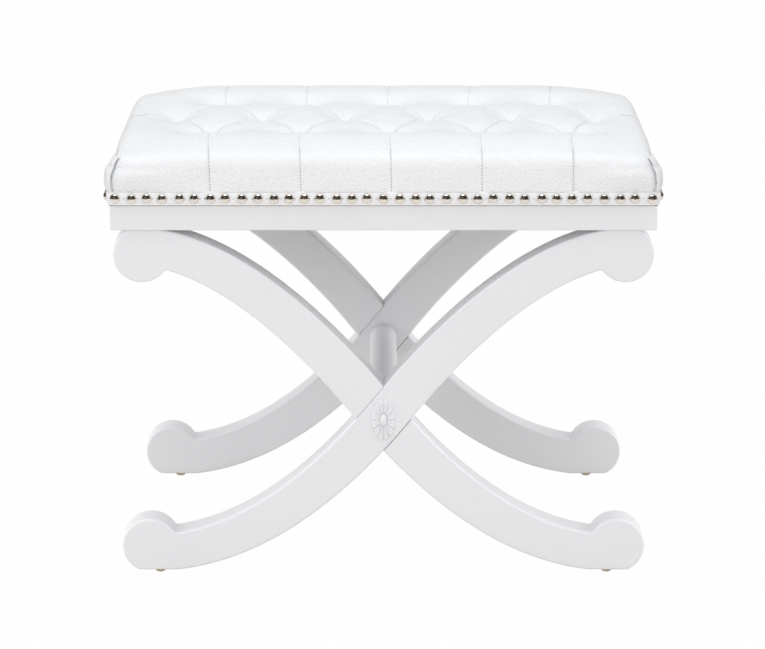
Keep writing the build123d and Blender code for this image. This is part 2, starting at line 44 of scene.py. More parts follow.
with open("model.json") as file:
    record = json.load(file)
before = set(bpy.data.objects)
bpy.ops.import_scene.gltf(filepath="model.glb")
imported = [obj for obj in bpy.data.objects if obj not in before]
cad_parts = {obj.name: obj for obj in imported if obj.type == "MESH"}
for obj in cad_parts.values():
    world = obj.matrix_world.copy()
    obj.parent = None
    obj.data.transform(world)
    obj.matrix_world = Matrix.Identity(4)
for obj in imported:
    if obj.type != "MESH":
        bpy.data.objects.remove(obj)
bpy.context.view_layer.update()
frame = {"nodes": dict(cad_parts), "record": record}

# Levels and half sizes that the pieces take from the frame, in metres
cover_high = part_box("tufted_cover")[1]
deck_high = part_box("seat_deck")[1]
band_low, band_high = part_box("trim_band")
foam_low, foam_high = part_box("foam_pad")
button_low, button_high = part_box("tuft_buttons")
nail_low, nail_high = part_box("trim_nails_front")
dust_low, dust_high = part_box("dust_cover")
rosette_low, rosette_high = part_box("rosette_front")
nail_rows = {
    "trim_nails_front": (0, -1),
    "trim_nails_back": (0, 1),
    "trim_nails_left": (-1, 0),
    "trim_nails_right": (1, 0),
}

# Counts and radii that the boxes don't tell
tufts_in_row = 5
nails_along = 35
nails_deep = 23
band_corner = 0.009
button_radius = 0.007


def length(name, text, default):
    """A size that a user would change, in metres."""
    return FloatProperty(
        name=name, description=text, default=default, min=-1.0, soft_max=1.0, unit="LENGTH", precision=4
    )


def amount(name, text, default, soft_max=1.0):
    """A plain number that a user would change."""
    return FloatProperty(name=name, description=text, default=default, min=0.0, soft_max=soft_max)


def colour(name, text, default):
    """A linear colour that a user would change."""
    return FloatVectorProperty(
        name=name, description=text, default=default, size=3, subtype="COLOR", min=0.0, max=1.0
    )


def number(name, text, default, least, soft_max):
    """A whole number that a user would change."""
    return IntProperty(name=name, description=text, default=default, min=least, soft_max=soft_max)


class CushionSettings(PropertyGroup):
    """Sizes of the tufted leather cushion."""

    strip_step: length("Strip step", "How far the cushion stands back from the face of the strip", 0.0004)
    corner_radius: length("Corner radius", "Radius of the upright corners in plan, at the shoulder", 0.023)
    corner_drop: amount("Corner drop", "Share of its rise that the crown loses towards a corner", 1.0)
    roll_radius: length("Roll radius", "Radius of the shoulder all round the top", 0.014)
    side_lean: length("Side lean", "How far the sides lean in on their way up", 0.0055)
    corner_fill: length("Corner fill", "Length beside a corner over which the sides stand full", 0.08)
    corner_ear: length("Corner ear", "How far the folded leather swells out at the front corners", 0.003)
    corner_fall: length("Corner fall", "How far the top rounds down at the back corners", 0.003)
    crown_rise: length("Crown rise", "Rise of the middle of the top over its shoulders", 0.015)
    back_share: amount("Back share", "Share of the crown's fall that the back has", 0.45)
    side_share: amount("Side share", "Share of the crown's fall that the left and right sides have", 0.45)
    crown_reach: length("Crown reach", "Width over which the top falls to its shoulders", 0.095)
    front_spacing: length("Front tuft spacing", "Spacing of the tufts in the front row", 0.1029)
    front_shift: length("Front tuft shift", "Shift of the front row along the bench", 0.0064)
    middle_spacing: length("Middle tuft spacing", "Spacing of the tufts in the middle row", 0.0975)
    middle_shift: length("Middle tuft shift", "Shift of the middle row along the bench", 0.0035)
    back_spacing: length("Back tuft spacing", "Spacing of the tufts in the back row", 0.097)
    back_shift: length("Back tuft shift", "Shift of the back row along the bench", 0.0045)
    end_spacing: length("Pleat end spacing", "Spacing of the front and back pleats at the strip", 0.1005)
    end_shift: length("Pleat end shift", "Shift of the front and back pleats at the strip", 0.009)
    row_spread: length("Row spread", "How far the outer tuft rows lie outside their ties", 0.010)
    tuft_depth: length("Tuft depth", "Depth of a tuft under the crown", 0.022)
    tuft_reach: length("Tuft reach", "How far along a pleat a tuft pulls it down", 0.040)
    pleat_depth: length("Pleat depth", "Depth of a pleat half way between tufts", 0.008)
    seam_depth: length("Seam depth", "Depth of an outer pleat on the top", 0.0018)
    edge_depth: length("Edge depth", "Depth of an outer pleat where it meets the strip", 0.0009)
    puff_reach: length("Puff reach", "Width over which a diamond swells up from its pleat", 0.055)
    outer_reach: length("Outer reach", "Width over which an outer panel swells up from the tufts", 0.098)
    seam_reach: length("Seam reach", "Width over which a panel swells up from an outer pleat", 0.016)
    tuck_lift: length("Tuck lift", "How far the tucked leather stands off beside a corner", 0.0035)
    swell_cap: length("Swell cap", "Furthest that a point may move when the leather is filled", 0.006)
    fill_pressure: amount("Fill pressure", "Pressure of the wadding under the leather", 3.0, 10.0)
    mesh_steps: number("Mesh steps", "Mesh steps along one pleat", 30, 8, 60)
    leather: colour("Leather", "Colour of the leather", (0.868, 0.878, 0.895))


class TrimSettings(PropertyGroup):
    """Sizes of the leather strip and its nails."""

    strip_puff: length("Strip puff", "How far the strip stands out between its edges", 0.0009)
    nail_dent: length("Nail dent", "How deep a nail presses the strip", 0.0006)
    nail_rise: length("Nail rise", "Height of a nail's dome", 0.0042)
    nail_drift: length("Nail drift", "Unevenness of the hand-driven nails", 0.0011)
    strip_stitch: length("Strip stitch", "Pitch of the stitches along the strip", 0.0053)
    pleat_stitch: length("Pleat stitch", "Pitch of the stitches down the outer pleats", 0.0034)
    nickel: colour("Nickel", "Colour of the nails", (0.88, 0.80, 0.72))
    thread: colour("Thread", "Colour of the stitches", (0.50, 0.50, 0.51))


class FrameSettings(PropertyGroup):
    """Finish of the painted wood and the carved flowers."""

    paint: colour("Paint", "Colour of the painted wood", (0.845, 0.848, 0.875))
    petals: number("Petals", "Petals of a carved flower", 12, 5, 24)
    petal_rise: length("Petal rise", "Height of a petal's rim over the leg", 0.0034)
    petal_hollow: length("Petal hollow", "Depth of the gouge in a petal", 0.0016)
    cloth_sag: length("Cloth sag", "Sag of the dust cover in its middle", 0.0022)


class StageSettings(PropertyGroup):
    """Camera, lamps and floor."""

    camera_place: FloatVectorProperty(
        name="Camera place",
        description="Where the camera stands",
        default=(-0.0011, -3.5206, 1.1771),
        size=3,
        subtype="TRANSLATION",
    )
    camera_tilt: FloatProperty(
        name="Camera tilt",
        description="Tilt of the camera from straight down",
        default=math.radians(75.18),
        subtype="ANGLE",
    )
    camera_lens: amount("Lens", "Focal length in millimetres", 143.8, 300.0)
    key_power: amount("Key lamp", "Power of the large lamp in front, in watts", 21.0, 500.0)
    top_power: amount("Top lamp", "Power of the lamp over the bench, in watts", 26.0, 500.0)
    left_power: amount("Left lamp", "Power of the low lamp at the left, in watts", 26.0, 500.0)
    right_power: amount("Right lamp", "Power of the low lamp at the right, in watts", 31.0, 500.0)
    sky_level: amount("Sky level", "Strength of the light from all round", 0.82, 2.0)
    floor_white: amount("Floor white", "Share of the floor that shows plain white", 0.98)


class BenchSettings(PropertyGroup):
    """All that a user can set."""

    cushion: PointerProperty(type=CushionSettings)
    trim: PointerProperty(type=TrimSettings)
    woodwork: PointerProperty(type=FrameSettings)
    stage: PointerProperty(type=StageSettings)


# Node materials, kept by name because the frame's own plain materials use some of the names too
made = {}


class Finish:
    """A node material while it is put together."""

    def __init__(self, name):
        self.material = bpy.data.materials.new(name)
        made[name] = self.material
        self.material.use_nodes = True
        self.tree = self.material.node_tree
        self.shader = self.tree.nodes["Principled BSDF"]
        self.place = self.tree.nodes.new("ShaderNodeTexCoord").outputs["Object"]

    def node(self, kind, inputs, **settings):
        """A node with its settings, and its inputs set or linked."""
        node = self.tree.nodes.new(kind)
        for key, value in settings.items():
            setattr(node, key, value)
        for key, value in inputs.items():
            if isinstance(value, bpy.types.NodeSocket):
                self.tree.links.new(value, node.inputs[key])
            else:
                node.inputs[key].default_value = value
        return node

    def stretched(self, scale):
        """Object coordinates, stretched along the axes."""
        return self.node("ShaderNodeMapping", {"Vector": self.place, "Scale": scale}).outputs["Vector"]

    def noise(self, scale, detail=2.0, place=None):
        """Soft noise between 0 and 1."""
        inputs = {"Vector": place or self.place, "Scale": scale, "Detail": detail}
        return self.node("ShaderNodeTexNoise", inputs).outputs["Fac"]

    def cells(self, scale, feature="F1"):
        """Distance in a pattern of cells."""
        inputs = {"Vector": self.place, "Scale": scale}
        return self.node("ShaderNodeTexVoronoi", inputs, feature=feature).outputs["Distance"]

    def waves(self, scale, distortion, place=None):
        """Wavy bands along X."""
        inputs = {"Vector": place or self.place, "Scale": scale, "Distortion": distortion, "Detail": 3.0}
        return self.node("ShaderNodeTexWave", inputs).outputs["Fac"]

    def levels(self, value, low, high, start=0.0, end=1.0):
        """A value moved from one range to another."""
        inputs = {"Value": value, "From Min": start, "From Max": end, "To Min": low, "To Max": high}
        return self.node("ShaderNodeMapRange", inputs).outputs["Result"]

    def mixed(self, factor, first, second):
        """A colour between two, each given as a colour or as a socket."""
        inputs = {0: factor}
        for key, tone in ((6, first), (7, second)):
            inputs[key] = tone if isinstance(tone, bpy.types.NodeSocket) else (*tone, 1.0)
        return self.node("ShaderNodeMix", inputs, data_type="RGBA").outputs[2]

    def product(self, first, second):
        """Two values multiplied."""
        return self.node("ShaderNodeMath", {0: first, 1: second}, operation="MULTIPLY").outputs[0]

    def along(self, vector, axis):
        """How far a vector reaches along one axis."""
        return self.node("ShaderNodeSeparateXYZ", {0: vector}).outputs[axis]

    def bump(self, height, distance, strength=1.0, under=None):
        """A normal pushed about by a height."""
        inputs = {"Height": height, "Distance": distance, "Strength": strength}
        if under is not None:
            inputs["Normal"] = under
        return self.node("ShaderNodeBump", inputs).outputs["Normal"]

    def set(self, **inputs):
        """Sets or links the shader's own inputs, given with underscores for spaces."""
        for key, value in inputs.items():
            socket = self.shader.inputs[key.replace("_", " ")]
            if isinstance(value, bpy.types.NodeSocket):
                self.tree.links.new(value, socket)
            else:
                socket.default_value = value
        return self.material


def shade(tone, factor):
    """A darker or lighter tone of a colour."""
    return tuple(min(1.0, part * factor) for part in tone)


def leather_finish(name, tone, grain, relief):
    """White leather with a pressed pebble grain, with painted shade in the grain's valleys and along its
    pleats and folds.
    """
    worn_shade, valley_shade, fold_shade_factor = 0.975, 0.93, 0.86
    leather = Finish(name)
    pebble = leather.cells(grain, "SMOOTH_F1")
    crease = leather.noise(grain * 0.55, 4.0)
    skin = leather.bump(crease, relief * 0.45, 0.8, leather.bump(pebble, relief))
    normal = leather.node("ShaderNodeNewGeometry", {}).outputs["Normal"]
    upright = leather.levels(leather.along(normal, "Z"), 1.0, 0.35, 0.2, 0.8)
    # Painted shade in the grain's valleys, stronger on upright faces than on the top.
    valley_shade_mask = leather.product(leather.levels(pebble, 0.0, 1.0, 0.3, 0.75), upright)
    cloudy = leather.levels(leather.noise(9.0, 3.0), 0.0, 1.0, 0.3, 0.7)
    worn = leather.mixed(cloudy, shade(tone, worn_shade), tone)
    tint = leather.mixed(valley_shade_mask, worn, shade(tone, valley_shade))
    # Painted shade along the pleats and in the tucks' creases, from the point mask that those meshes carry.
    fold_shade = leather.node("ShaderNodeAttribute", {}, attribute_name="fold_shade").outputs["Fac"]
    tint = leather.mixed(fold_shade, tint, shade(tone, fold_shade_factor))
    gloss = leather.levels(leather.noise(60.0, 3.0), 0.36, 0.5, 0.3, 0.7)
    return leather.set(Base_Color=tint, Roughness=gloss, Normal=skin, Specular_IOR_Level=0.2)


def paint_finish(tone):
    """Sprayed white paint with a fine orange peel."""
    paint = Finish("painted_wood")
    peel = paint.bump(paint.noise(700.0, 2.0), 0.00004, 0.6)
    grain = paint.bump(paint.noise(30.0, 5.0, paint.stretched((1.0, 6.0, 1.0))), 0.00012, 0.5, peel)
    tint = paint.mixed(paint.levels(paint.noise(7.0, 4.0), 0.0, 1.0, 0.3, 0.7), shade(tone, 0.975), tone)
    gloss = paint.levels(paint.noise(40.0, 3.0), 0.36, 0.48, 0.3, 0.7)
    return paint.set(Base_Color=tint, Roughness=gloss, Normal=grain, Specular_IOR_Level=0.4)


def metal_finish(name, tone, low, high, relief, scale):
    """Metal with a worn polish and faint dents."""
    metal = Finish(name)
    dents = metal.bump(metal.noise(scale, 2.0), relief)
    tint = metal.mixed(metal.noise(scale * 0.4, 4.0), shade(tone, 0.8), tone)
    gloss = metal.levels(metal.noise(scale * 1.7, 3.0), low, high, 0.3, 0.7)
    return metal.set(Base_Color=tint, Roughness=gloss, Normal=dents, Metallic=1.0)


def wood_finish(name, light, dark, along):
    """Bare wood with grain that runs along one axis."""
    wood = Finish(name)
    drawn = wood.stretched(along)
    rings = wood.waves(14.0, 5.0, drawn)
    pores = wood.noise(260.0, 5.0, drawn)
    tint = wood.mixed(wood.levels(rings, 0.0, 1.0, 0.1, 0.9), dark, light)
    grain = wood.bump(pores, 0.0003, 0.7)
    return wood.set(Base_Color=tint, Roughness=wood.levels(pores, 0.55, 0.8), Normal=grain)


def fibre_finish(name, light, dark, scale, relief):
    """Fibres, pores or felt: a fine rough texture in two tones."""
    fibre = Finish(name)
    fleck = fibre.noise(scale, 6.0)
    pore = fibre.cells(scale * 0.6)
    tint = fibre.mixed(fibre.levels(fleck, 0.0, 1.0, 0.35, 0.65), dark, light)
    rough = fibre.levels(fleck, 0.8, 1.0)
    return fibre.set(Base_Color=tint, Roughness=rough, Normal=fibre.bump(pore, relief))


def thread_finish(name, tone):
    """Twisted sewing thread."""
    return fibre_finish(name, tuple(tone), shade(tone, 0.6), 1500.0, 0.0002)


# Mesh helpers
def link_mesh(name, points, faces):
    """A smooth-shaded mesh object."""
    mesh = bpy.data.meshes.new(name)
    mesh.from_pydata([tuple(p) for p in points], [], [tuple(int(i) for i in f) for f in faces])
    mesh.validate()
    piece = bpy.data.objects.new(name, mesh)
    bpy.context.scene.collection.objects.link(piece)
    mesh.shade_smooth()
    return piece


def face_outward(piece):
    """Turns all faces to the outside."""
    shell = bmesh.new()
    shell.from_mesh(piece.data)
    bmesh.ops.recalc_face_normals(shell, faces=shell.faces)
    shell.to_mesh(piece.data)
    shell.free()


def settle(piece, material, slot, *nodes):
    """Gives a piece its finish and its body, and hides the frame's nodes that it stands for."""
    piece.data.materials.clear()
    piece.data.materials.append(material)
    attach(piece, "root")
    if nodes:
        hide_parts(*nodes)
    return piece


def turned_form(profile, steps):
    """Points and faces of a profile of (radius, height) turned about Z, closed on the axis at its end."""
    angles = np.linspace(0, 2 * math.pi, steps, endpoint=False)
    points = [(r * math.cos(a), r * math.sin(a), h) for r, h in profile[:-1] for a in angles]
    faces = []
    for ring in range(len(profile) - 2):
        for i in range(steps):
            j = (i + 1) % steps
            faces.append((ring * steps + i, ring * steps + j, (ring + 1) * steps + j, (ring + 1) * steps + i))
    last = (len(profile) - 2) * steps
    tip = len(points)
    points.append((0.0, 0.0, profile[-1][1]))
    faces += [(last + i, last + (i + 1) % steps, tip) for i in range(steps)]
    faces.append(tuple(range(steps - 1, -1, -1)))
    return np.array(points), faces


def ring_faces(rings, steps):
    """Faces between closed rings of points, with both ends closed."""
    faces = []
    for k in range(rings - 1):
        for i in range(steps):
            j = (i + 1) % steps
            faces.append((k * steps + i, (k + 1) * steps + i, (k + 1) * steps + j, k * steps + j))
    last = (rings - 1) * steps
    faces.append(tuple(range(steps)))
    faces.append(tuple(range(last + steps - 1, last - 1, -1)))
    return faces


def repeated(points, faces, placings):
    """The same form at many places: each placing is an origin and three axes."""
    all_points = []
    all_faces = []
    for origin, axes in placings:
        start = len(all_points)
        all_points += list(np.asarray(origin) + points @ np.asarray(axes))
        all_faces += [tuple(start + i for i in face) for face in faces]
    return all_points, all_faces


def axes_for(outward, along):
    """Three axes: along, across and outward."""
    outward = np.asarray(outward, float) / np.linalg.norm(outward)
    along = np.asarray(along, float) - outward * np.dot(along, outward)
    along = along / np.linalg.norm(along)
    return np.array((along, np.cross(outward, along), outward))


def stitch_form(reach, radius):
    """A short rounded thread that lies along X, half sunk."""
    outline = [(0.35, 0.0), (0.8, 0.12), (1.0, 0.35), (1.0, 0.65), (0.8, 0.88), (0.35, 1.0), (0.0, 1.03)]
    points, faces = turned_form(outline, 8)
    along = (points[:, 2] - 0.5) * reach
    return np.column_stack((along, points[:, 0] * radius, points[:, 1] * radius)), faces


# Tufted cushion
def eased(share):
    """A share from 0 to 1 that starts and ends gently."""
    share = np.clip(share, 0, 1)
    return share * share * (3 - 2 * share)


class Pad:
    """A crowned pad with rounded shoulders and sides that lean in, covered by a flat sheet.

    A sheet point over the core lies on the top; past the core it runs over the shoulder and down the wall.
    The shares say how much the crown falls at the sides, at the back and at the corners.
    """

    def __init__(
        self,
        half,
        levels,
        corner,
        roll,
        lean=0.0,
        fill=0.1,
        ear=0.0,
        corner_fall=0.0,
        crown=0.0,
        crown_reach=0.1,
        shares=(1.0, 1.0, 0.0),
        foot_corner=None,
    ):
        bottom, top = levels
        self.core = np.array(half) - corner - lean
        self.corner = corner
        self.foot_corner = foot_corner or corner
        self.roll = roll
        self.lean = lean
        self.crown = crown
        self.fill = fill
        self.ear = ear
        self.corner_fall = corner_fall
        self.crown_reach = crown_reach
        self.side_share, self.back_share, self.corner_drop = shares
        self.shoulder = top - crown
        self.flat = corner - roll
        self.turned = self.flat + roll * math.pi / 2
        self.wall = self.shoulder - roll - bottom
        self.reach = self.turned + self.wall
        self.edge = self.core + self.reach

    def run(self, sheet):
        """How far each sheet point lies past the flat middle of the top, and which way."""
        inner = np.clip(sheet, -self.core, self.core)
        past = sheet - inner
        distance = np.linalg.norm(past, axis=-1)
        return inner, distance, past / np.maximum(distance, 1e-9)[..., None]

    def wall_reach(self, inner, side, fall):
        """How far the wall stands out from the core: full at the corners, which get tighter below."""
        corner_fullness = 0.8
        near = np.min(eased(1 - (self.core - np.abs(inner)) / self.fill), axis=-1)
        size = self.corner + self.lean * fall ** (1 - corner_fullness * near)
        radius = size + (self.foot_corner - size) * fall
        along = np.max(np.abs(side), axis=-1)
        across = np.min(np.abs(side), axis=-1)
        straight = size / np.maximum(along, 1e-6)
        middle = (size - radius) * (along + across)
        rounded = middle + np.sqrt(np.maximum(0, middle ** 2 - 2 * (size - radius) ** 2 + radius ** 2))
        return np.where(across * straight <= size - radius, straight, rounded)

    def swell(self, inner, distance):
        """How far the folded leather swells out at the front corners."""
        near = np.min(eased(1 - (self.core - np.abs(inner)) / (self.fill / 2)), axis=-1)
        share = np.clip((distance - self.flat) / (self.reach - self.flat), 0, 1)
        down = (0, 0.15, 0.3, 0.5, 0.75, 0.9, 1)
        out = (0, 0.4, 0.85, 1, 0.8, 0.45, 0)
        return self.ear * near * np.interp(share, down, out) * (inner[..., 1] < 0)

    def place(self, sheet):
        """Places and outward directions on the pad for points of the sheet."""
        inner, distance, side = self.run(sheet)
        angle = np.clip((distance - self.flat) / self.roll, 0, math.pi / 2)
        down = np.maximum(0, distance - self.turned)
        on_top = np.minimum(distance, self.flat) + self.roll * np.sin(angle)
        out = np.where(down > 0, self.wall_reach(inner, side, down / self.wall), on_top)
        plan = inner + side * (out + self.swell(inner, distance))[..., None]
        rim = self.core + self.corner
        fall = np.clip((np.abs(plan) - rim + self.crown_reach) / self.crown_reach, 0, 1)
        share = np.where(plan[..., 1] > 0, self.back_share, 1.0)
        rise = self.crown * (1 - self.side_share * fall[..., 0] ** 2) * (1 - share * fall[..., 1] ** 2)
        rise *= 1 - self.corner_drop * np.prod(fall, axis=-1)
        rise -= self.corner_fall * np.min(eased(fall * 2 - 1), axis=-1) * (plan[..., 1] > 0)
        rise *= 1 - eased(down / self.wall)
        height = self.shoulder - self.roll * (1 - np.cos(angle)) - down + rise
        places = np.concatenate((plan, height[..., None]), axis=-1)
        normals = np.concatenate((side * np.sin(angle)[..., None], np.cos(angle)[..., None]), axis=-1)
        return places, normals

    def corner_edge(self, start, end, steps):
        """Edge of the sheet from the front or back side round a corner to the left or right side.

        The points stand closer together at both ends and round the corner.
        """
        crowding, crowd_reach, turn_crowding = 5, 0.015, 2
        sign = np.sign((end[0], start[1]))
        straight = abs(self.core[0] - abs(start[0]))
        arc = self.reach * math.pi / 2
        total = straight + arc + self.core[1]
        fine = np.linspace(0, total, 2000)
        at_corner = np.abs(fine - straight - arc / 2) < arc * 0.6
        from_start = crowding * np.exp(-fine / crowd_reach)
        from_end = crowding * np.exp(-(total - fine) / crowd_reach)
        density = 1 + from_start + from_end + turn_crowding * at_corner
        mass = np.concatenate(((0,), np.cumsum((density[1:] + density[:-1]) / 2)))
        points = []
        for run in np.interp(np.linspace(0, mass[-1], steps + 1), mass, fine):
            if run < straight:
                point = np.array((abs(start[0]) + run, self.edge[1]))
            elif run < straight + arc:
                turn = (run - straight) / self.reach
                point = self.core + self.reach * np.array((math.sin(turn), math.cos(turn)))
            else:
                point = np.array((self.edge[0], self.core[1] - (run - straight - arc)))
            points.append(point * sign)
        return np.array(points)


def spread(steps):
    """Shares from 0 to 1, closer together near both ends."""
    crowding = 0.55
    even = np.linspace(0, 1, steps + 1)
    return (1 - crowding) * even + crowding * (0.5 - 0.5 * np.cos(math.pi * even))


def line(points, shares):
    """Points at the shares of each stretch of a line."""
    found = [np.asarray(points[0])]
    for a, b in zip(points, points[1:]):
        found += [a + (b - a) * share for share in shares[1:]]
    return np.array(found)


def tuft_rows(cushion):
    """Tuft points of the front, middle and back row, on the sheet."""
    row_pitch = (button_high.y - button_low.y) / 2 - button_radius + cushion.row_spread
    rows = []
    layout = (
        (tufts_in_row, cushion.front_spacing, cushion.front_shift, -row_pitch),
        (tufts_in_row + 1, cushion.middle_spacing, cushion.middle_shift, 0.0),
        (tufts_in_row, cushion.back_spacing, cushion.back_shift, row_pitch),
    )
    for count, spacing, shift, y in layout:
        rows.append([np.array((shift + (i - (count - 1) / 2) * spacing, y)) for i in range(count)])
    return rows


def outer_pleats(pad, cushion):
    """Pleats from the outer tufts to the edge of the sheet, by tuft."""
    front, middle, back = tuft_rows(cushion)
    pleats = {}
    for row in (front, back):
        for i, tuft in enumerate(row):
            x = cushion.end_shift + (i - (tufts_in_row - 1) / 2) * cushion.end_spacing
            pleats[tuple(tuft)] = np.array((x, math.copysign(pad.edge[1], tuft[1])))
    for tuft in (middle[0], middle[-1]):
        pleats[tuple(tuft)] = np.array((math.copysign(pad.edge[0], tuft[0]), tuft[1]))
    return pleats


def panel_sheets(pad, cushion):
    """Each panel as a grid of sheet points with the pleats round it."""
    front, middle, back = tuft_rows(cushion)
    ends = outer_pleats(pad, cushion)
    shares = spread(cushion.mesh_steps)
    long_shares = spread(round(cushion.mesh_steps * 1.6))
    panels = []

    def add(inner, outer, rows, pleats):
        """A panel ruled between two lines."""
        grid = inner[:, None] * (1 - rows)[None, :, None] + outer[:, None] * rows[None, :, None]
        panels.append((grid, pleats))

    for i in range(tufts_in_row):
        corners = (middle[i], front[i], middle[i + 1], back[i])
        sides = [(corners[k], corners[(k + 1) % 4]) for k in range(4)]
        add(line((middle[i], front[i]), shares), line((back[i], middle[i + 1]), shares), shares, sides)
    for row in (front, back):
        for i in range(tufts_in_row - 1):
            a, peak, b = row[i], middle[i + 1], row[i + 1]
            outer = line((ends[tuple(a)], (ends[tuple(a)] + ends[tuple(b)]) / 2, ends[tuple(b)]), shares)
            sides = [(a, peak), (peak, b), (a, ends[tuple(a)]), (b, ends[tuple(b)])]
            add(line((a, peak, b), shares), outer, long_shares, sides)
        for tuft, side in ((row[0], middle[0]), (row[-1], middle[-1])):
            outer = pad.corner_edge(ends[tuple(tuft)], ends[tuple(side)], cushion.mesh_steps)
            sides = [(tuft, side), (tuft, ends[tuple(tuft)]), (side, ends[tuple(side)])]
            add(line((tuft, side), shares), outer, long_shares, sides)
    return panels


def pleat_pull(pad, cushion, sheet, start, end, puff_reach):
    """Distance of sheet points from a pleat, the pleat's depth at the nearest point, and its reach there.

    A pleat that ends at the edge of the sheet fades out over the shoulder; the others join two tufts.
    """
    funnel_power = 2.2
    way = end - start
    share = np.clip(((sheet - start) @ way) / (way @ way), 0, 1)
    nearest = start + share[..., None] * way
    gap = np.linalg.norm(sheet - nearest, axis=-1)
    from_tuft = np.linalg.norm(nearest - start, axis=-1)
    ends_at_edge = pad.run(end)[1] > pad.reach * 0.9
    if ends_at_edge:
        over = eased(pad.run(nearest)[1] / pad.turned)
        plain = cushion.seam_depth + (cushion.edge_depth - cushion.seam_depth) * over
        outside = eased(from_tuft / cushion.tuft_reach - 0.3)
        reach = puff_reach + (cushion.seam_reach - puff_reach) * outside
    else:
        from_tuft = np.minimum(from_tuft, np.linalg.norm(nearest - end, axis=-1))
        plain = np.full(gap.shape, cushion.pleat_depth)
        reach = puff_reach
    funnel = np.clip(1 - from_tuft / cushion.tuft_reach, 0, 1) ** funnel_power
    return gap, plain + (cushion.tuft_depth - plain) * funnel, reach


def panel_depth(pad, cushion, sheet, pleats):
    """Depth of a panel's leather under the crown: deep at its pleats, none where it is full."""
    swell_power = 0.45
    fullness = np.ones(sheet.shape[:-1])
    weights = np.zeros(sheet.shape[:-1])
    depths = np.zeros(sheet.shape[:-1])
    inside = all(pad.run(end)[1] == 0 for _, end in pleats)
    puff_reach = cushion.puff_reach if inside else cushion.outer_reach
    for start, end in pleats:
        gap, depth, reach = pleat_pull(pad, cushion, sheet, start, end, puff_reach)
        rise = np.clip(gap / reach, 0, 1)
        fullness *= (1 - (1 - rise) ** 2) ** swell_power
        weight = 1 / (gap + 1e-5) ** 2
        weights += weight
        depths += weight * depth
    return depths / weights * (1 - fullness)


def panel_faces(sheet, index):
    """Faces of a panel's grid, all turned up."""
    faces = []
    for i in range(sheet.shape[0] - 1):
        for j in range(sheet.shape[1] - 1):
            face = (index[i, j], index[i + 1, j], index[i + 1, j + 1], index[i, j + 1])
            one = sheet[i + 1, j] - sheet[i, j]
            other = sheet[i, j + 1] - sheet[i, j]
            faces.append(face if one[0] * other[1] - one[1] * other[0] > 0 else face[::-1])
    return faces


def cushion_points(pad, cushion):
    """Welded points and faces of all panels, with a mark for each point: 1 in a pleat, 2 at the edge."""
    weld = 1e-5
    found = {}
    points = []
    sewn = []
    faces = []
    for sheet, pleats in panel_sheets(pad, cushion):
        places, normals = pad.place(sheet)
        places = places - normals * panel_depth(pad, cushion, sheet, pleats)[..., None]
        pulls = [pleat_pull(pad, cushion, sheet, a, b, cushion.puff_reach) for a, b in pleats]
        gaps = np.min([gap for gap, _, _ in pulls], axis=0)
        at_edge = pad.run(sheet)[1] > pad.reach - weld
        index = np.zeros(sheet.shape[:-1], int)
        for i in range(sheet.shape[0]):
            for j in range(sheet.shape[1]):
                key = tuple(np.round(sheet[i, j] / weld).astype(int))
                if key not in found:
                    found[key] = len(points)
                    points.append(places[i, j])
                    sewn.append(2 if at_edge[i, j] else 1 if gaps[i, j] < weld else 0)
                index[i, j] = found[key]
        faces += panel_faces(sheet, index)
    return np.array(points), faces, np.array(sewn)


def fill_leather(piece, held, pressure, cap):
    """Swells the leather between its sewn lines by a cloth simulation and keeps the result."""
    scene = bpy.context.scene
    frames = 20
    before = np.array([v.co for v in piece.data.vertices])
    group = piece.vertex_groups.new(name="sewn")
    group.add([int(i) for i in np.nonzero(held)[0]], 1.0, "REPLACE")
    cloth = piece.modifiers.new("Filling", "CLOTH")
    cloth.settings.quality = 6
    cloth.settings.mass = 0.35
    cloth.settings.tension_stiffness = 25.0
    cloth.settings.compression_stiffness = 25.0
    cloth.settings.shear_stiffness = 12.0
    cloth.settings.bending_stiffness = 3.0
    cloth.settings.vertex_group_mass = group.name
    cloth.settings.use_pressure = True
    cloth.settings.uniform_pressure_force = pressure
    cloth.settings.effector_weights.gravity = 0.0
    cloth.point_cache.frame_start = 1
    cloth.point_cache.frame_end = frames
    for step in range(1, frames + 1):
        scene.frame_set(step)
    evaluated = piece.evaluated_get(bpy.context.evaluated_depsgraph_get())
    after = np.array([v.co for v in evaluated.data.vertices])
    piece.modifiers.clear()
    scene.frame_set(1)
    move = after - before
    far = np.linalg.norm(move, axis=1)
    move *= (np.minimum(far, cap) / np.maximum(far, 1e-9))[:, None]
    piece.data.vertices.foreach_set("co", (before + move).astype(np.float32).ravel())
    piece.data.update()


def smoothed(piece, sewn):
    """Subdivides the leather once and keeps the sewn pleats sharp."""
    creases = piece.data.attributes.new("crease_edge", "FLOAT", "EDGE")
    for edge in piece.data.edges:
        a, b = edge.vertices
        if sewn[a] and sewn[b]:
            creases.data[edge.index].value = 1.0
    rounding = piece.modifiers.new("Rounding", "SUBSURF")
    rounding.levels = 1
    rounding.render_levels = 1
    evaluated = piece.evaluated_get(bpy.context.evaluated_depsgraph_get())
    mesh = bpy.data.meshes.new_from_object(evaluated)
    piece.modifiers.clear()
    piece.data = mesh
    mesh.shade_smooth()


def close_underside(piece, inset):
    """Turns the lower edge of the leather in and closes the underside."""
    shell = bmesh.new()
    shell.from_mesh(piece.data)
    rim = [edge for edge in shell.edges if edge.is_boundary]
    grown = bmesh.ops.extrude_edge_only(shell, edges=rim)["geom"]
    for vertex in [g for g in grown if isinstance(g, bmesh.types.BMVert)]:
        vertex.co.x -= math.copysign(inset, vertex.co.x)
        vertex.co.y -= math.copysign(inset, vertex.co.y)
    bmesh.ops.holes_fill(shell, edges=[edge for edge in shell.edges if edge.is_boundary], sides=0)
    bmesh.ops.recalc_face_normals(shell, faces=shell.faces)
    shell.to_mesh(piece.data)
    shell.free()


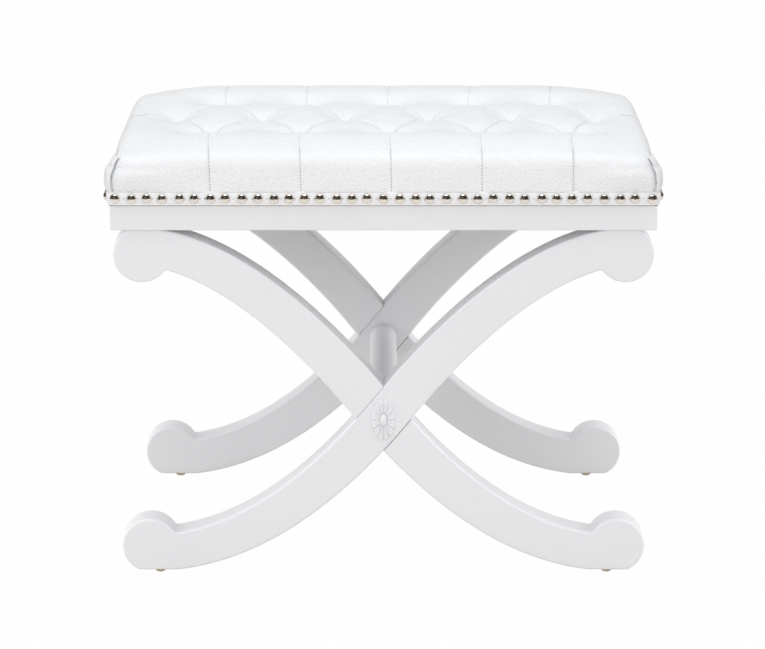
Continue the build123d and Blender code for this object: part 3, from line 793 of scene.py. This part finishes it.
def cushion_pad(cushion):
    """The full pad that the leather covers."""
    return Pad(
        half=(band_high.x - cushion.strip_step, band_high.y - cushion.strip_step),
        levels=(deck_high.z, cover_high.z),
        corner=cushion.corner_radius,
        roll=cushion.roll_radius,
        lean=cushion.side_lean,
        fill=cushion.corner_fill,
        ear=cushion.corner_ear,
        corner_fall=cushion.corner_fall,
        crown=cushion.crown_rise,
        crown_reach=cushion.crown_reach,
        shares=(cushion.side_share, cushion.back_share, cushion.corner_drop),
        foot_corner=band_corner,
    )


class BENCH_OT_cushion(Operator):
    """Sews, fills and closes the tufted leather cushion."""

    bl_idname = "bench.cushion"
    bl_label = "Tufted cushion"

    def execute(self, context):
        cushion = context.scene.bench.cushion
        pad = cushion_pad(cushion)
        points, faces, sewn = cushion_points(pad, cushion)
        piece = link_mesh("tufted_cushion", points, faces)
        # Painted shade mask: 1 on the pleat lines, where the leather is darkened into thin shaded lines.
        fold_shade = piece.data.attributes.new("fold_shade", "FLOAT", "POINT")
        fold_shade.data.foreach_set("value", (sewn == 1).astype(np.float32))
        fill_leather(piece, sewn > 0, cushion.fill_pressure, cushion.swell_cap)
        smoothed(piece, sewn)
        close_underside(piece, band_corner / 2)
        grain, relief = 430.0, 0.0007
        leather = leather_finish("white_leather", tuple(cushion.leather), grain, relief)
        settle(piece, leather, "white_leather", "tufted_cover")
        return {"FINISHED"}


class BENCH_OT_pleat_stitches(Operator):
    """Stitches the outer pleats down to the strip."""

    bl_idname = "bench.pleat_stitches"
    bl_label = "Pleat stitches"

    def execute(self, context):
        settings = context.scene.bench
        cushion = settings.cushion
        pitch = settings.trim.pleat_stitch
        radius, sunk, onto_top, step = 0.00045, 0.0002, 0.014, 0.001
        pad = cushion_pad(cushion)
        count = int((pad.wall + pad.roll * math.pi / 2 + onto_top) / pitch)
        placings = []
        for tuft, end in outer_pleats(pad, cushion).items():
            tuft = np.array(tuft)
            way = (end - tuft) / np.linalg.norm(end - tuft)
            for i in range(count):
                sheet = end - way * (i + 0.5) * pitch
                place, normal = pad.place(sheet)
                ahead, _ = pad.place(sheet + way * step)
                depth = pleat_pull(pad, cushion, sheet, tuft, end, cushion.puff_reach)[1]
                placings.append((place - normal * (depth - sunk), axes_for(normal, ahead - place)))
        form = stitch_form(pitch * 0.45, radius)
        piece = link_mesh("pleat_stitches", *repeated(*form, placings))
        settle(piece, thread_finish("grey_thread", settings.trim.thread), "white_leather")
        return {"FINISHED"}


class BENCH_OT_corner_tucks(Operator):
    """Tucks the spare leather over at each corner of the cushion."""

    bl_idname = "bench.corner_tucks"
    bl_label = "Corner tucks"

    # Mesh steps up and across one fold
    high = 22
    wide = 15
    # Across the curled lip: degrees past the fold's edge, and share of its lift
    lip = ((12, -0.1), (6, 0.3), (2, 0.75), (0, 1.0))

    def execute(self, context):
        cushion = context.scene.bench.cushion
        pad = cushion_pad(cushion)
        points = []
        faces = []
        for sx in (-1, 1):
            for sy in (-1, 1):
                self.tuck(pad, cushion.tuck_lift, np.array((sx, sy)), points, faces)
        piece = link_mesh("corner_tucks", points, faces)
        face_outward(piece)
        # Painted shade: full in the crease under the curled lip, faint over the rest of the fold and fading
        # out across it.
        fold_shade = piece.data.attributes.new("fold_shade", "FLOAT", "POINT")
        column = np.arange(len(points)) % (self.wide + 1)
        tuck_shade = np.where(column < 2, 1.0, 0.3 * (1 - column / self.wide))
        fold_shade.data.foreach_set("value", tuck_shade.astype(np.float32))
        settle(piece, made["white_leather"], "white_leather")
        return {"FINISHED"}

    def tuck(self, pad, lift, sign, points, faces):
        """One fold: its free edge curls over a hollow, and it lies close where it runs into the side."""
        first = len(points)
        off_strip, skin, into_side = 0.0006, 0.0004, 0.020
        front_share, back_share = 0.9, 0.45
        foot_turn, turn_drift = 34, 12
        rise = pad.wall + pad.roll * (front_share if sign[1] < 0 else back_share)
        for i in range(self.high + 1):
            up = i / self.high
            distance = pad.reach - off_strip - rise * up
            stand = lift * math.sin(math.pi * (0.06 + 0.94 * up)) ** 0.7
            edge = foot_turn + turn_drift * up
            for j in range(self.wide + 1):
                across = max(0, j + 1 - len(self.lip)) / (self.wide + 1 - len(self.lip))
                past, share = (90 - edge) * min(1.0, across * 2), (1 - across) ** 1.3
                if j < len(self.lip):
                    past, share = self.lip[j]
                turn = math.radians(edge + past)
                way = np.array((math.sin(turn), math.cos(turn)))
                sheet = pad.core + distance * way
                sheet[1] -= into_side * max(0.0, across * 2 - 1)
                place, normal = pad.place(sheet * sign)
                points.append(place + normal * (stand * share + skin * (1 - across)))
        row = self.wide + 1
        for i in range(self.high):
            for j in range(self.wide):
                a = first + i * row + j
                faces.append((a, a + 1, a + row + 1, a + row))


class BENCH_OT_foam(Operator):
    """Makes the foam slab inside the cushion, dented at its ties."""

    bl_idname = "bench.foam"
    bl_label = "Foam slab"

    def execute(self, context):
        cushion = context.scene.bench.cushion
        corner = 0.012
        dent_depth, dent_reach = 0.004, 0.014
        pad = Pad((foam_high.x, foam_high.y), (foam_low.z, foam_high.z), corner, corner * 0.7)
        steps = 72
        turns = np.linspace(0, 2 * math.pi, steps, endpoint=False)
        square = np.maximum(np.abs(np.cos(turns)), np.abs(np.sin(turns)))
        ring = np.column_stack((np.cos(turns), np.sin(turns))) / square[:, None]
        rings = [ring * pad.core * share for share in np.linspace(0.06, 1.0, 26)]
        corner_ways = ring / np.linalg.norm(ring, axis=1)[:, None]
        rings += [ring * pad.core + corner_ways * past for past in np.linspace(0, pad.reach, 9)[1:]]
        tufts = [tuft for row in tuft_rows(cushion) for tuft in row]
        points = []
        for sheet in rings:
            places, normals = pad.place(sheet)
            near = np.min([np.linalg.norm(sheet - tuft, axis=1) for tuft in tufts], axis=0)
            points += list(places - normals * (dent_depth * np.exp(-((near / dent_reach) ** 2)))[:, None])
        piece = link_mesh("foam_slab", points, ring_faces(len(rings), steps))
        face_outward(piece)
        foam = fibre_finish("foam", (0.80, 0.72, 0.50), (0.66, 0.57, 0.36), 900.0, 0.0006)
        settle(piece, foam, "foam", "foam_pad")
        return {"FINISHED"}


class BENCH_OT_buttons(Operator):
    """Makes the leather-covered buttons at the bottom of the tufts."""

    bl_idname = "bench.buttons"
    bl_label = "Tuft buttons"

    def execute(self, context):
        cushion = context.scene.bench.cushion
        height = button_high.z - button_low.z
        outline = [(0.80, 0.0), (0.96, 0.10), (1.0, 0.28), (0.97, 0.45)]
        outline += [(0.86, 0.66), (0.66, 0.83), (0.40, 0.95), (0.0, 1.0)]
        form = turned_form([(r * button_radius, h * height) for r, h in outline], 24)
        axes = np.identity(3)
        placings = [((x, y, button_low.z), axes) for row in tuft_rows(cushion) for x, y in row]
        piece = link_mesh("covered_buttons", *repeated(*form, placings))
        leather = leather_finish("button_leather", tuple(cushion.leather), 700.0, 0.0003)
        settle(piece, leather, "button_leather", "tuft_buttons")
        return {"FINISHED"}


# Trim
def nail_places(drift):
    """Centres of the nails on each side, hand-driven and so a little uneven."""
    scatter = np.random.default_rng(11)
    z = (nail_low.z + nail_high.z) / 2
    radius = (nail_high.z - nail_low.z) / 2
    pitch = (nail_high.x - nail_low.x - 2 * radius) / (nails_along - 1)
    places = {}
    for name, (sx, sy) in nail_rows.items():
        count = nails_along if sy else nails_deep
        row = []
        for i in range(count):
            run = (i - (count - 1) / 2) * pitch + scatter.uniform(-drift, drift)
            up = z + scatter.uniform(-drift, drift) * 0.35
            row.append((run, sy * band_high.y, up) if sy else (sx * band_high.x, run, up))
        places[name] = row
    return places


def strip_ring(pitch):
    """Points round the strip's outer face with their outward directions, about a pitch apart."""
    radius = band_corner
    core_x = band_high.x - radius
    core_y = band_high.y - radius
    points = []
    for corner, (sx, sy) in enumerate(((1, -1), (1, 1), (-1, 1), (-1, -1))):
        run = core_y if corner % 2 == 0 else core_x
        arc_start = math.radians(-90 + 90 * corner)
        turn_steps = max(2, math.ceil(radius * math.pi / 2 / pitch))
        for i in range(turn_steps):
            a = arc_start + math.pi / 2 * i / turn_steps
            way = np.array((math.cos(a), math.sin(a)))
            points.append((np.array((sx * core_x, sy * core_y)) + radius * way, way))
        a = arc_start + math.pi / 2
        way = np.array((math.cos(a), math.sin(a)))
        ahead = np.array((-way[1], way[0]))
        start = np.array((sx * core_x, sy * core_y)) + radius * way
        steps = math.ceil(2 * run / pitch)
        points += [(start + ahead * 2 * run * i / steps, way) for i in range(steps)]
    return points


class BENCH_OT_strip(Operator):
    """Lays the leather strip round the lower edge of the cushion, pressed in under each nail."""

    bl_idname = "bench.strip"
    bl_label = "Leather strip"

    def execute(self, context):
        settings = context.scene.bench
        trim = settings.trim
        nails = np.array([place for row in nail_places(trim.nail_drift).values() for place in row])
        thickness, nail_press, mesh_pitch = 0.0015, 0.0062, 0.0022
        height = band_high.z - band_low.z
        outline = [(-1.0, 0.04), (-0.55, 0.0), (-0.1, 0.015), (0.1, 0.08)]
        outline += [(0.55, 0.2), (0.9, 0.35), (1.0, 0.5)]
        outline += [(across, 1 - up) for across, up in outline[-2::-1]]
        ring = strip_ring(mesh_pitch)
        points = []
        for place, way in ring:
            for across, up in outline:
                puff = max(0.0, across) * trim.strip_puff
                out = (across - 1) / 2 * thickness + puff
                z = band_low.z + height * up
                spot = np.array((*(place + way * out), z))
                near = np.min(np.linalg.norm(nails - spot, axis=1))
                pressed = math.exp(-((near / nail_press) ** 4))
                dent = max(0.0, across) * (trim.nail_dent + trim.strip_puff) * pressed
                points.append(spot - np.array((*way, 0.0)) * dent)
        count = len(outline)
        faces = []
        for i in range(len(ring)):
            j = (i + 1) % len(ring)
            for k in range(count):
                m = (k + 1) % count
                faces.append((i * count + k, j * count + k, j * count + m, i * count + m))
        piece = link_mesh("leather_strip", points, faces)
        face_outward(piece)
        # Painted light: the strip takes the cushion's leather 6% lighter, standing in for the low lamps'
        # light that is kept off it.
        leather = leather_finish("strip_leather_painted_light", shade(settings.cushion.leather, 1.06), 650.0, 0.0003)
        settle(piece, leather, "band_leather", "trim_band")
        self.stitch(trim, nails)
        return {"FINISHED"}

    def stitch(self, trim, nails):
        """Stitches along the middle of the strip, where no nail covers them."""
        z = (band_low.z + band_high.z) / 2
        reach, radius, sunk, nail_room = 0.0013, 0.0006, 0.0001, 0.0058
        placings = []
        for place, way in strip_ring(trim.strip_stitch):
            spot = np.array((*(place + way * (trim.strip_puff - sunk)), z))
            if np.min(np.linalg.norm(nails - spot, axis=1)) > nail_room:
                placings.append((spot, axes_for((*way, 0.0), (-way[1], way[0], 0.0))))
        piece = link_mesh("strip_stitches", *repeated(*stitch_form(reach, radius), placings))
        settle(piece, thread_finish("strip_thread", trim.thread), "band_leather")


class BENCH_OT_nails(Operator):
    """Drives the domed nickel nails along the strip."""

    bl_idname = "bench.nails"
    bl_label = "Dome nails"

    def execute(self, context):
        trim = context.scene.bench.trim
        radius = (nail_high.z - nail_low.z) / 2
        angles = np.linspace(0, math.pi / 2, 9)
        outline = [(0.90 * radius, -0.0006), (1.0 * radius, 0.0)]
        outline += [(radius * math.cos(a) ** 0.9, trim.nail_rise * math.sin(a)) for a in angles[1:-1]]
        outline.append((0.0, trim.nail_rise))
        form = turned_form(outline, 26)
        nickel = metal_finish("nickel", tuple(trim.nickel), 0.10, 0.22, 0.0002, 420.0)
        for name, row in nail_places(trim.nail_drift).items():
            sx, sy = nail_rows[name]
            placings = [(place, axes_for((sx, sy, 0.0), (0.0, 0.0, 1.0))) for place in row]
            piece = link_mesh(name.replace("trim_nails", "dome_nails"), *repeated(*form, placings))
            settle(piece, nickel, "nickel_nails", name)
        return {"FINISHED"}


# Painted frame
def flower_points(half_x, half_z, woodwork):
    """Height field of an oval flower: gouged petals round a boss, in polar steps."""
    per_petal = 14
    steps = woodwork.petals * per_petal
    boss, boss_foot, petal_start = 0.27, 0.31, 0.30
    boss_rise, boss_step = 0.0046, 0.0004
    rings = np.concatenate((np.linspace(0.05, petal_start, 7), np.linspace(0.33, 1.0, 22)))
    points = []
    for share in rings:
        for i in range(steps):
            turn = 2 * math.pi * (i + 0.5) / steps
            across = ((i + 0.5) % per_petal) / per_petal * 2 - 1
            scallop = 1 - 0.15 * abs(across) ** 2.4
            reach = share * (1 if share < boss else scallop)
            if share < petal_start:
                rise = boss_rise * math.sqrt(max(0.0, 1 - (share / boss_foot) ** 2)) + boss_step
            else:
                out = (share - petal_start) / (1 - petal_start)
                rim = woodwork.petal_rise * (1 - abs(across) ** 6) * min(1.0, out * 5 + 0.25) * (1 - out ** 9)
                gouge = math.exp(-((across / 0.5) ** 2)) * math.sin(math.pi * min(1.0, out * 1.06)) ** 0.8
                rise = max(0.0, rim - woodwork.petal_hollow * gouge)
            points.append((half_x * reach * math.sin(turn), half_z * reach * math.cos(turn), rise))
    return points, steps, len(rings)


class BENCH_OT_flowers(Operator):
    """Carves the oval flowers on the two crossings."""

    bl_idname = "bench.flowers"
    bl_label = "Carved flowers"

    def execute(self, context):
        woodwork = context.scene.bench.woodwork
        half_x = (rosette_high.x - rosette_low.x) / 2
        half_z = (rosette_high.z - rosette_low.z) / 2
        z = (rosette_low.z + rosette_high.z) / 2
        face = rosette_high.y
        points, steps, rings = flower_points(half_x, half_z, woodwork)
        faces = ring_faces(rings, steps)
        for name, sign in (("front", -1), ("back", 1)):
            placed = [(x * -sign, sign * (abs(face) + rise), z + up) for x, up, rise in points]
            piece = link_mesh("carved_flower_" + name, placed, faces)
            face_outward(piece)
            settle(piece, made["painted_wood"], "white_paint", "rosette_" + name)
        return {"FINISHED"}


class BENCH_OT_woodwork(Operator):
    """Paints the rails, legs and stretcher and finishes the bare wood and metal."""

    bl_idname = "bench.woodwork"
    bl_label = "Paint and metal"

    def execute(self, context):
        woodwork = context.scene.bench.woodwork
        woods = {
            # The plywood takes a dark guessed stain, kept dark so that its edge in the gap under the strip
            # reads as shade: partly its own colour, partly painted shade.
            "plywood": ((0.30, 0.215, 0.125), (0.21, 0.14, 0.075), (1.0, 9.0, 30.0)),
            "block_wood": ((0.60, 0.44, 0.26), (0.44, 0.29, 0.15), (2.0, 12.0, 12.0)),
        }
        metals = {
            "zinc_steel": ((0.62, 0.64, 0.66), 0.28, 0.42, 0.0002, 500.0),
            "insert_brass": ((0.72, 0.53, 0.24), 0.30, 0.45, 0.0002, 500.0),
            "glide_metal": ((0.42, 0.33, 0.22), 0.25, 0.42, 0.0003, 300.0),
        }
        finishes = {name: wood_finish(name, *look) for name, look in woods.items()}
        finishes.update({name: metal_finish(name, *look) for name, look in metals.items()})
        finishes["white_paint"] = paint_finish(tuple(woodwork.paint))
        finishes["twine"] = fibre_finish("twine", (0.70, 0.64, 0.50), (0.50, 0.44, 0.32), 1200.0, 0.0004)
        slots = {part["node"]: part["material_slot"] for part in frame["record"]["subparts"]}
        for node, piece in frame["nodes"].items():
            if slots[node] in finishes:
                piece.material_slots[0].material = finishes[slots[node]]
        return {"FINISHED"}


class BENCH_OT_dust_cover(Operator):
    """Staples the black dust cover under the seat board."""

    bl_idname = "bench.dust_cover"
    bl_label = "Dust cover"

    def execute(self, context):
        sag = context.scene.bench.woodwork.cloth_sag
        half = np.array((dust_high.x, dust_high.y))
        cut = 0.073
        sheet = bmesh.new()
        bmesh.ops.create_grid(sheet, x_segments=66, y_segments=42, size=1.0)
        for vertex in sheet.verts:
            vertex.co = Vector((vertex.co.x * half[0], vertex.co.y * half[1], dust_low.z))
        for sx in (-1, 1):
            for sy in (-1, 1):
                place = Vector((sx * half[0], sy * (half[1] - cut), dust_low.z))
                everything = list(sheet.verts) + list(sheet.edges) + list(sheet.faces)
                way = Vector((sx, sy, 0))
                bmesh.ops.bisect_plane(sheet, geom=everything, plane_co=place, plane_no=way, clear_outer=True)
        for vertex in sheet.verts:
            x, y = vertex.co.x / half[0], vertex.co.y / half[1]
            ripple = 0.06 * math.sin(31 * x + 4 * y) * math.sin(9 * y - 3 * x)
            vertex.co.z -= sag * (1 - x ** 4) * (1 - y ** 4) * (1 + ripple)
        mesh = bpy.data.meshes.new("dust_cloth")
        sheet.to_mesh(mesh)
        sheet.free()
        mesh.shade_smooth()
        piece = bpy.data.objects.new("dust_cloth", mesh)
        context.scene.collection.objects.link(piece)
        cloth = fibre_finish("dust_cloth", (0.030, 0.030, 0.032), (0.012, 0.012, 0.013), 1100.0, 0.0003)
        settle(piece, cloth, "dust_cloth", "dust_cover")
        staples = self.staples(half, cut)
        return {"FINISHED"}

    def staples(self, half, cut):
        """Wire staples along the edges of the cloth."""
        inset, pitch, sunk = 0.008, 0.045, 0.0003
        reach, radius = 0.010, 0.0005
        corners = []
        for sx, sy in ((1, -1), (1, 1), (-1, 1), (-1, -1)):
            near_side = np.array((sx * (half[0] - inset), sy * (half[1] - cut)))
            near_end = np.array((sx * (half[0] - cut), sy * (half[1] - inset)))
            corners += [near_end, near_side] if sx * sy < 0 else [near_side, near_end]
        placings = []
        for a, b in zip(corners, corners[1:] + corners[:1]):
            count = max(2, round(np.linalg.norm(b - a) / pitch))
            for i in range(count):
                spot = a + (b - a) * (i + 0.5) / count
                placings.append(((*spot, dust_low.z - sunk), axes_for((0, 0, -1), (*(b - a), 0.0))))
        piece = link_mesh("dust_staples", *repeated(*stitch_form(reach, radius), placings))
        return settle(piece, made["zinc_steel"], "zinc_steel")


# Stage
def ray_share(tree):
    """1 for rays from the camera, a mirror or glass, 0 for the rest."""
    path = tree.nodes.new("ShaderNodeLightPath")
    share = path.outputs["Is Camera Ray"]
    for kind in ("Is Glossy Ray", "Is Transmission Ray"):
        either = tree.nodes.new("ShaderNodeMath")
        either.operation = "MAXIMUM"
        tree.links.new(share, either.inputs[0])
        tree.links.new(path.outputs[kind], either.inputs[1])
        share = either.outputs[0]
    return share


def floor_finish(white_share):
    """White floor that keeps a part of the object's shadow."""
    floor = Finish("studio_floor")
    tree = floor.tree
    tint = floor.mixed(floor.noise(3.0, 3.0), (0.65, 0.625, 0.605), (0.67, 0.645, 0.625))
    floor.set(Base_Color=tint, Roughness=0.95, Specular_IOR_Level=0.0)
    plain = floor.shader.outputs[0]
    glow = floor.node("ShaderNodeEmission", {"Color": (1.0, 1.0, 1.0, 1.0), "Strength": 1.0}).outputs[0]
    share = floor.product(ray_share(tree), white_share)
    mix = floor.node("ShaderNodeMixShader", {0: share, 1: plain, 2: glow})
    tree.links.new(mix.outputs[0], tree.nodes["Material Output"].inputs["Surface"])
    return floor.material


def area_lamp(name, place, size, power):
    """A large soft white lamp that points at the bench."""
    target = Vector((0.0, 0.0, 0.3))
    lamp = bpy.data.lights.new(name, "AREA")
    lamp.shape = "RECTANGLE"
    lamp.size, lamp.size_y = size
    lamp.energy = power
    holder = bpy.data.objects.new(name, lamp)
    holder.location = place
    holder.rotation_euler = (target - Vector(place)).to_track_quat("-Z", "Y").to_euler()
    bpy.context.scene.collection.objects.link(holder)
    return holder


def shaded_from(lamps, names):
    """Keeps the light of some lamps off some pieces, as a flag on a stand does."""
    group = bpy.data.collections.new("shaded_pieces")
    for name in names:
        group.objects.link(bpy.data.objects[name])
    for member in group.collection_objects:
        member.light_linking.link_state = "EXCLUDE"
    for lamp in lamps:
        lamp.light_linking.receiver_collection = group


def studio_walls():
    """Studio walls all round, dark in front and grey behind, which only mirrors see."""
    radius, low, high, steps = 2.4, 0.0, 5.0, 48
    dark, grey = (0.035, 0.033, 0.03), (0.4, 0.4, 0.4)
    turns = np.linspace(0, 2 * math.pi, steps, endpoint=False)
    points = [(radius * math.cos(a), radius * math.sin(a), level) for level in (low, high) for a in turns]
    faces = [(i, (i + 1) % steps, steps + (i + 1) % steps, steps + i) for i in range(steps)]
    wall = link_mesh("studio_walls", points, faces)
    finish = Finish("studio_walls")
    behind = finish.levels(finish.along(finish.place, "Y"), 0.0, 1.0, radius * 0.3, radius * 0.6)
    tint = finish.mixed(behind, dark, grey)
    wall.data.materials.append(finish.set(Base_Color=tint, Roughness=1.0))
    wall.visible_camera = False
    wall.visible_diffuse = False
    wall.visible_shadow = False
    wall.visible_transmission = False


def studio_sky(scene, level):
    """Light from all round, which the camera and mirrors see as plain white."""
    world = bpy.data.worlds.new("studio")
    world.use_nodes = True
    scene.world = world
    tree = world.node_tree
    sky = tree.nodes["Background"]
    sky.inputs["Color"].default_value = (1.0, 1.0, 1.0, 1.0)
    strength = tree.nodes.new("ShaderNodeMapRange")
    strength.inputs["To Min"].default_value = level
    strength.inputs["To Max"].default_value = 1.0
    tree.links.new(ray_share(tree), strength.inputs["Value"])
    tree.links.new(strength.outputs["Result"], sky.inputs["Strength"])


def studio_camera(scene, stage):
    """The camera, where the photographer stood."""
    camera = bpy.data.objects.new("camera", bpy.data.cameras.new("camera"))
    camera.data.sensor_width = 36.0
    camera.data.lens = stage.camera_lens
    camera.location = stage.camera_place
    camera.rotation_euler = (stage.camera_tilt, 0.0, 0.0)
    scene.collection.objects.link(camera)
    scene.camera = camera


class BENCH_OT_stage(Operator):
    """Sets up the floor, the light and the camera."""

    bl_idname = "bench.stage"
    bl_label = "Studio"

    def execute(self, context):
        scene = context.scene
        stage = scene.bench.stage
        reach = 9
        corners = [(-reach, -reach, 0), (reach, -reach, 0), (reach, reach, 0), (-reach, reach, 0)]
        floor = link_mesh("studio_floor", corners, [(0, 1, 2, 3)])
        floor.data.materials.append(floor_finish(stage.floor_white))
        studio_walls()
        layout = {
            "key_lamp": ((-1.2, -3.6, 1.3), (1.6, 2.0), stage.key_power),
            "top_lamp": ((0.0, -0.4, 3.4), (2.4, 2.0), stage.top_power),
            "left_lamp": ((-3.0, 0.2, 1.0), (1.6, 2.0), stage.left_power),
            "right_lamp": ((3.0, 0.2, 1.0), (1.6, 2.0), stage.right_power),
        }
        lamps = {name: area_lamp(name, *setting) for name, setting in layout.items()}
        low_lamps = (lamps["left_lamp"], lamps["right_lamp"])
        shaded_from(low_lamps, ("tufted_cushion", "corner_tucks", "leather_strip"))
        studio_sky(scene, stage.sky_level)
        studio_camera(scene, stage)
        scene.view_settings.view_transform = "Standard"
        return {"FINISHED"}


class BENCH_PT_pieces(Panel):
    """Lists the pieces of the bench in the order in which they are made."""

    bl_label = "Tufted bench"
    bl_idname = "BENCH_PT_pieces"
    bl_space_type = "VIEW_3D"
    bl_region_type = "UI"
    bl_category = "Bench"

    def draw(self, context):
        column = self.layout.column(align=True)
        for piece in piece_operators:
            column.operator(piece.bl_idname)


setting_groups = (CushionSettings, TrimSettings, FrameSettings, StageSettings, BenchSettings)
piece_operators = (
    BENCH_OT_woodwork,
    BENCH_OT_cushion,
    BENCH_OT_pleat_stitches,
    BENCH_OT_corner_tucks,
    BENCH_OT_foam,
    BENCH_OT_buttons,
    BENCH_OT_strip,
    BENCH_OT_nails,
    BENCH_OT_flowers,
    BENCH_OT_dust_cover,
    BENCH_OT_stage,
)


def register():
    """Makes the settings, pieces and panel known."""
    for group in setting_groups + piece_operators + (BENCH_PT_pieces,):
        bpy.utils.register_class(group)
    bpy.types.Scene.bench = PointerProperty(type=BenchSettings)


def unregister():
    """Takes them away again."""
    del bpy.types.Scene.bench
    for group in reversed(setting_groups + piece_operators + (BENCH_PT_pieces,)):
        bpy.utils.unregister_class(group)


def main():
    """Makes every piece."""
    register()
    for piece in piece_operators:
        group, name = piece.bl_idname.split(".")
        getattr(getattr(bpy.ops, group), name)()


if __name__ == "__main__":
    main()
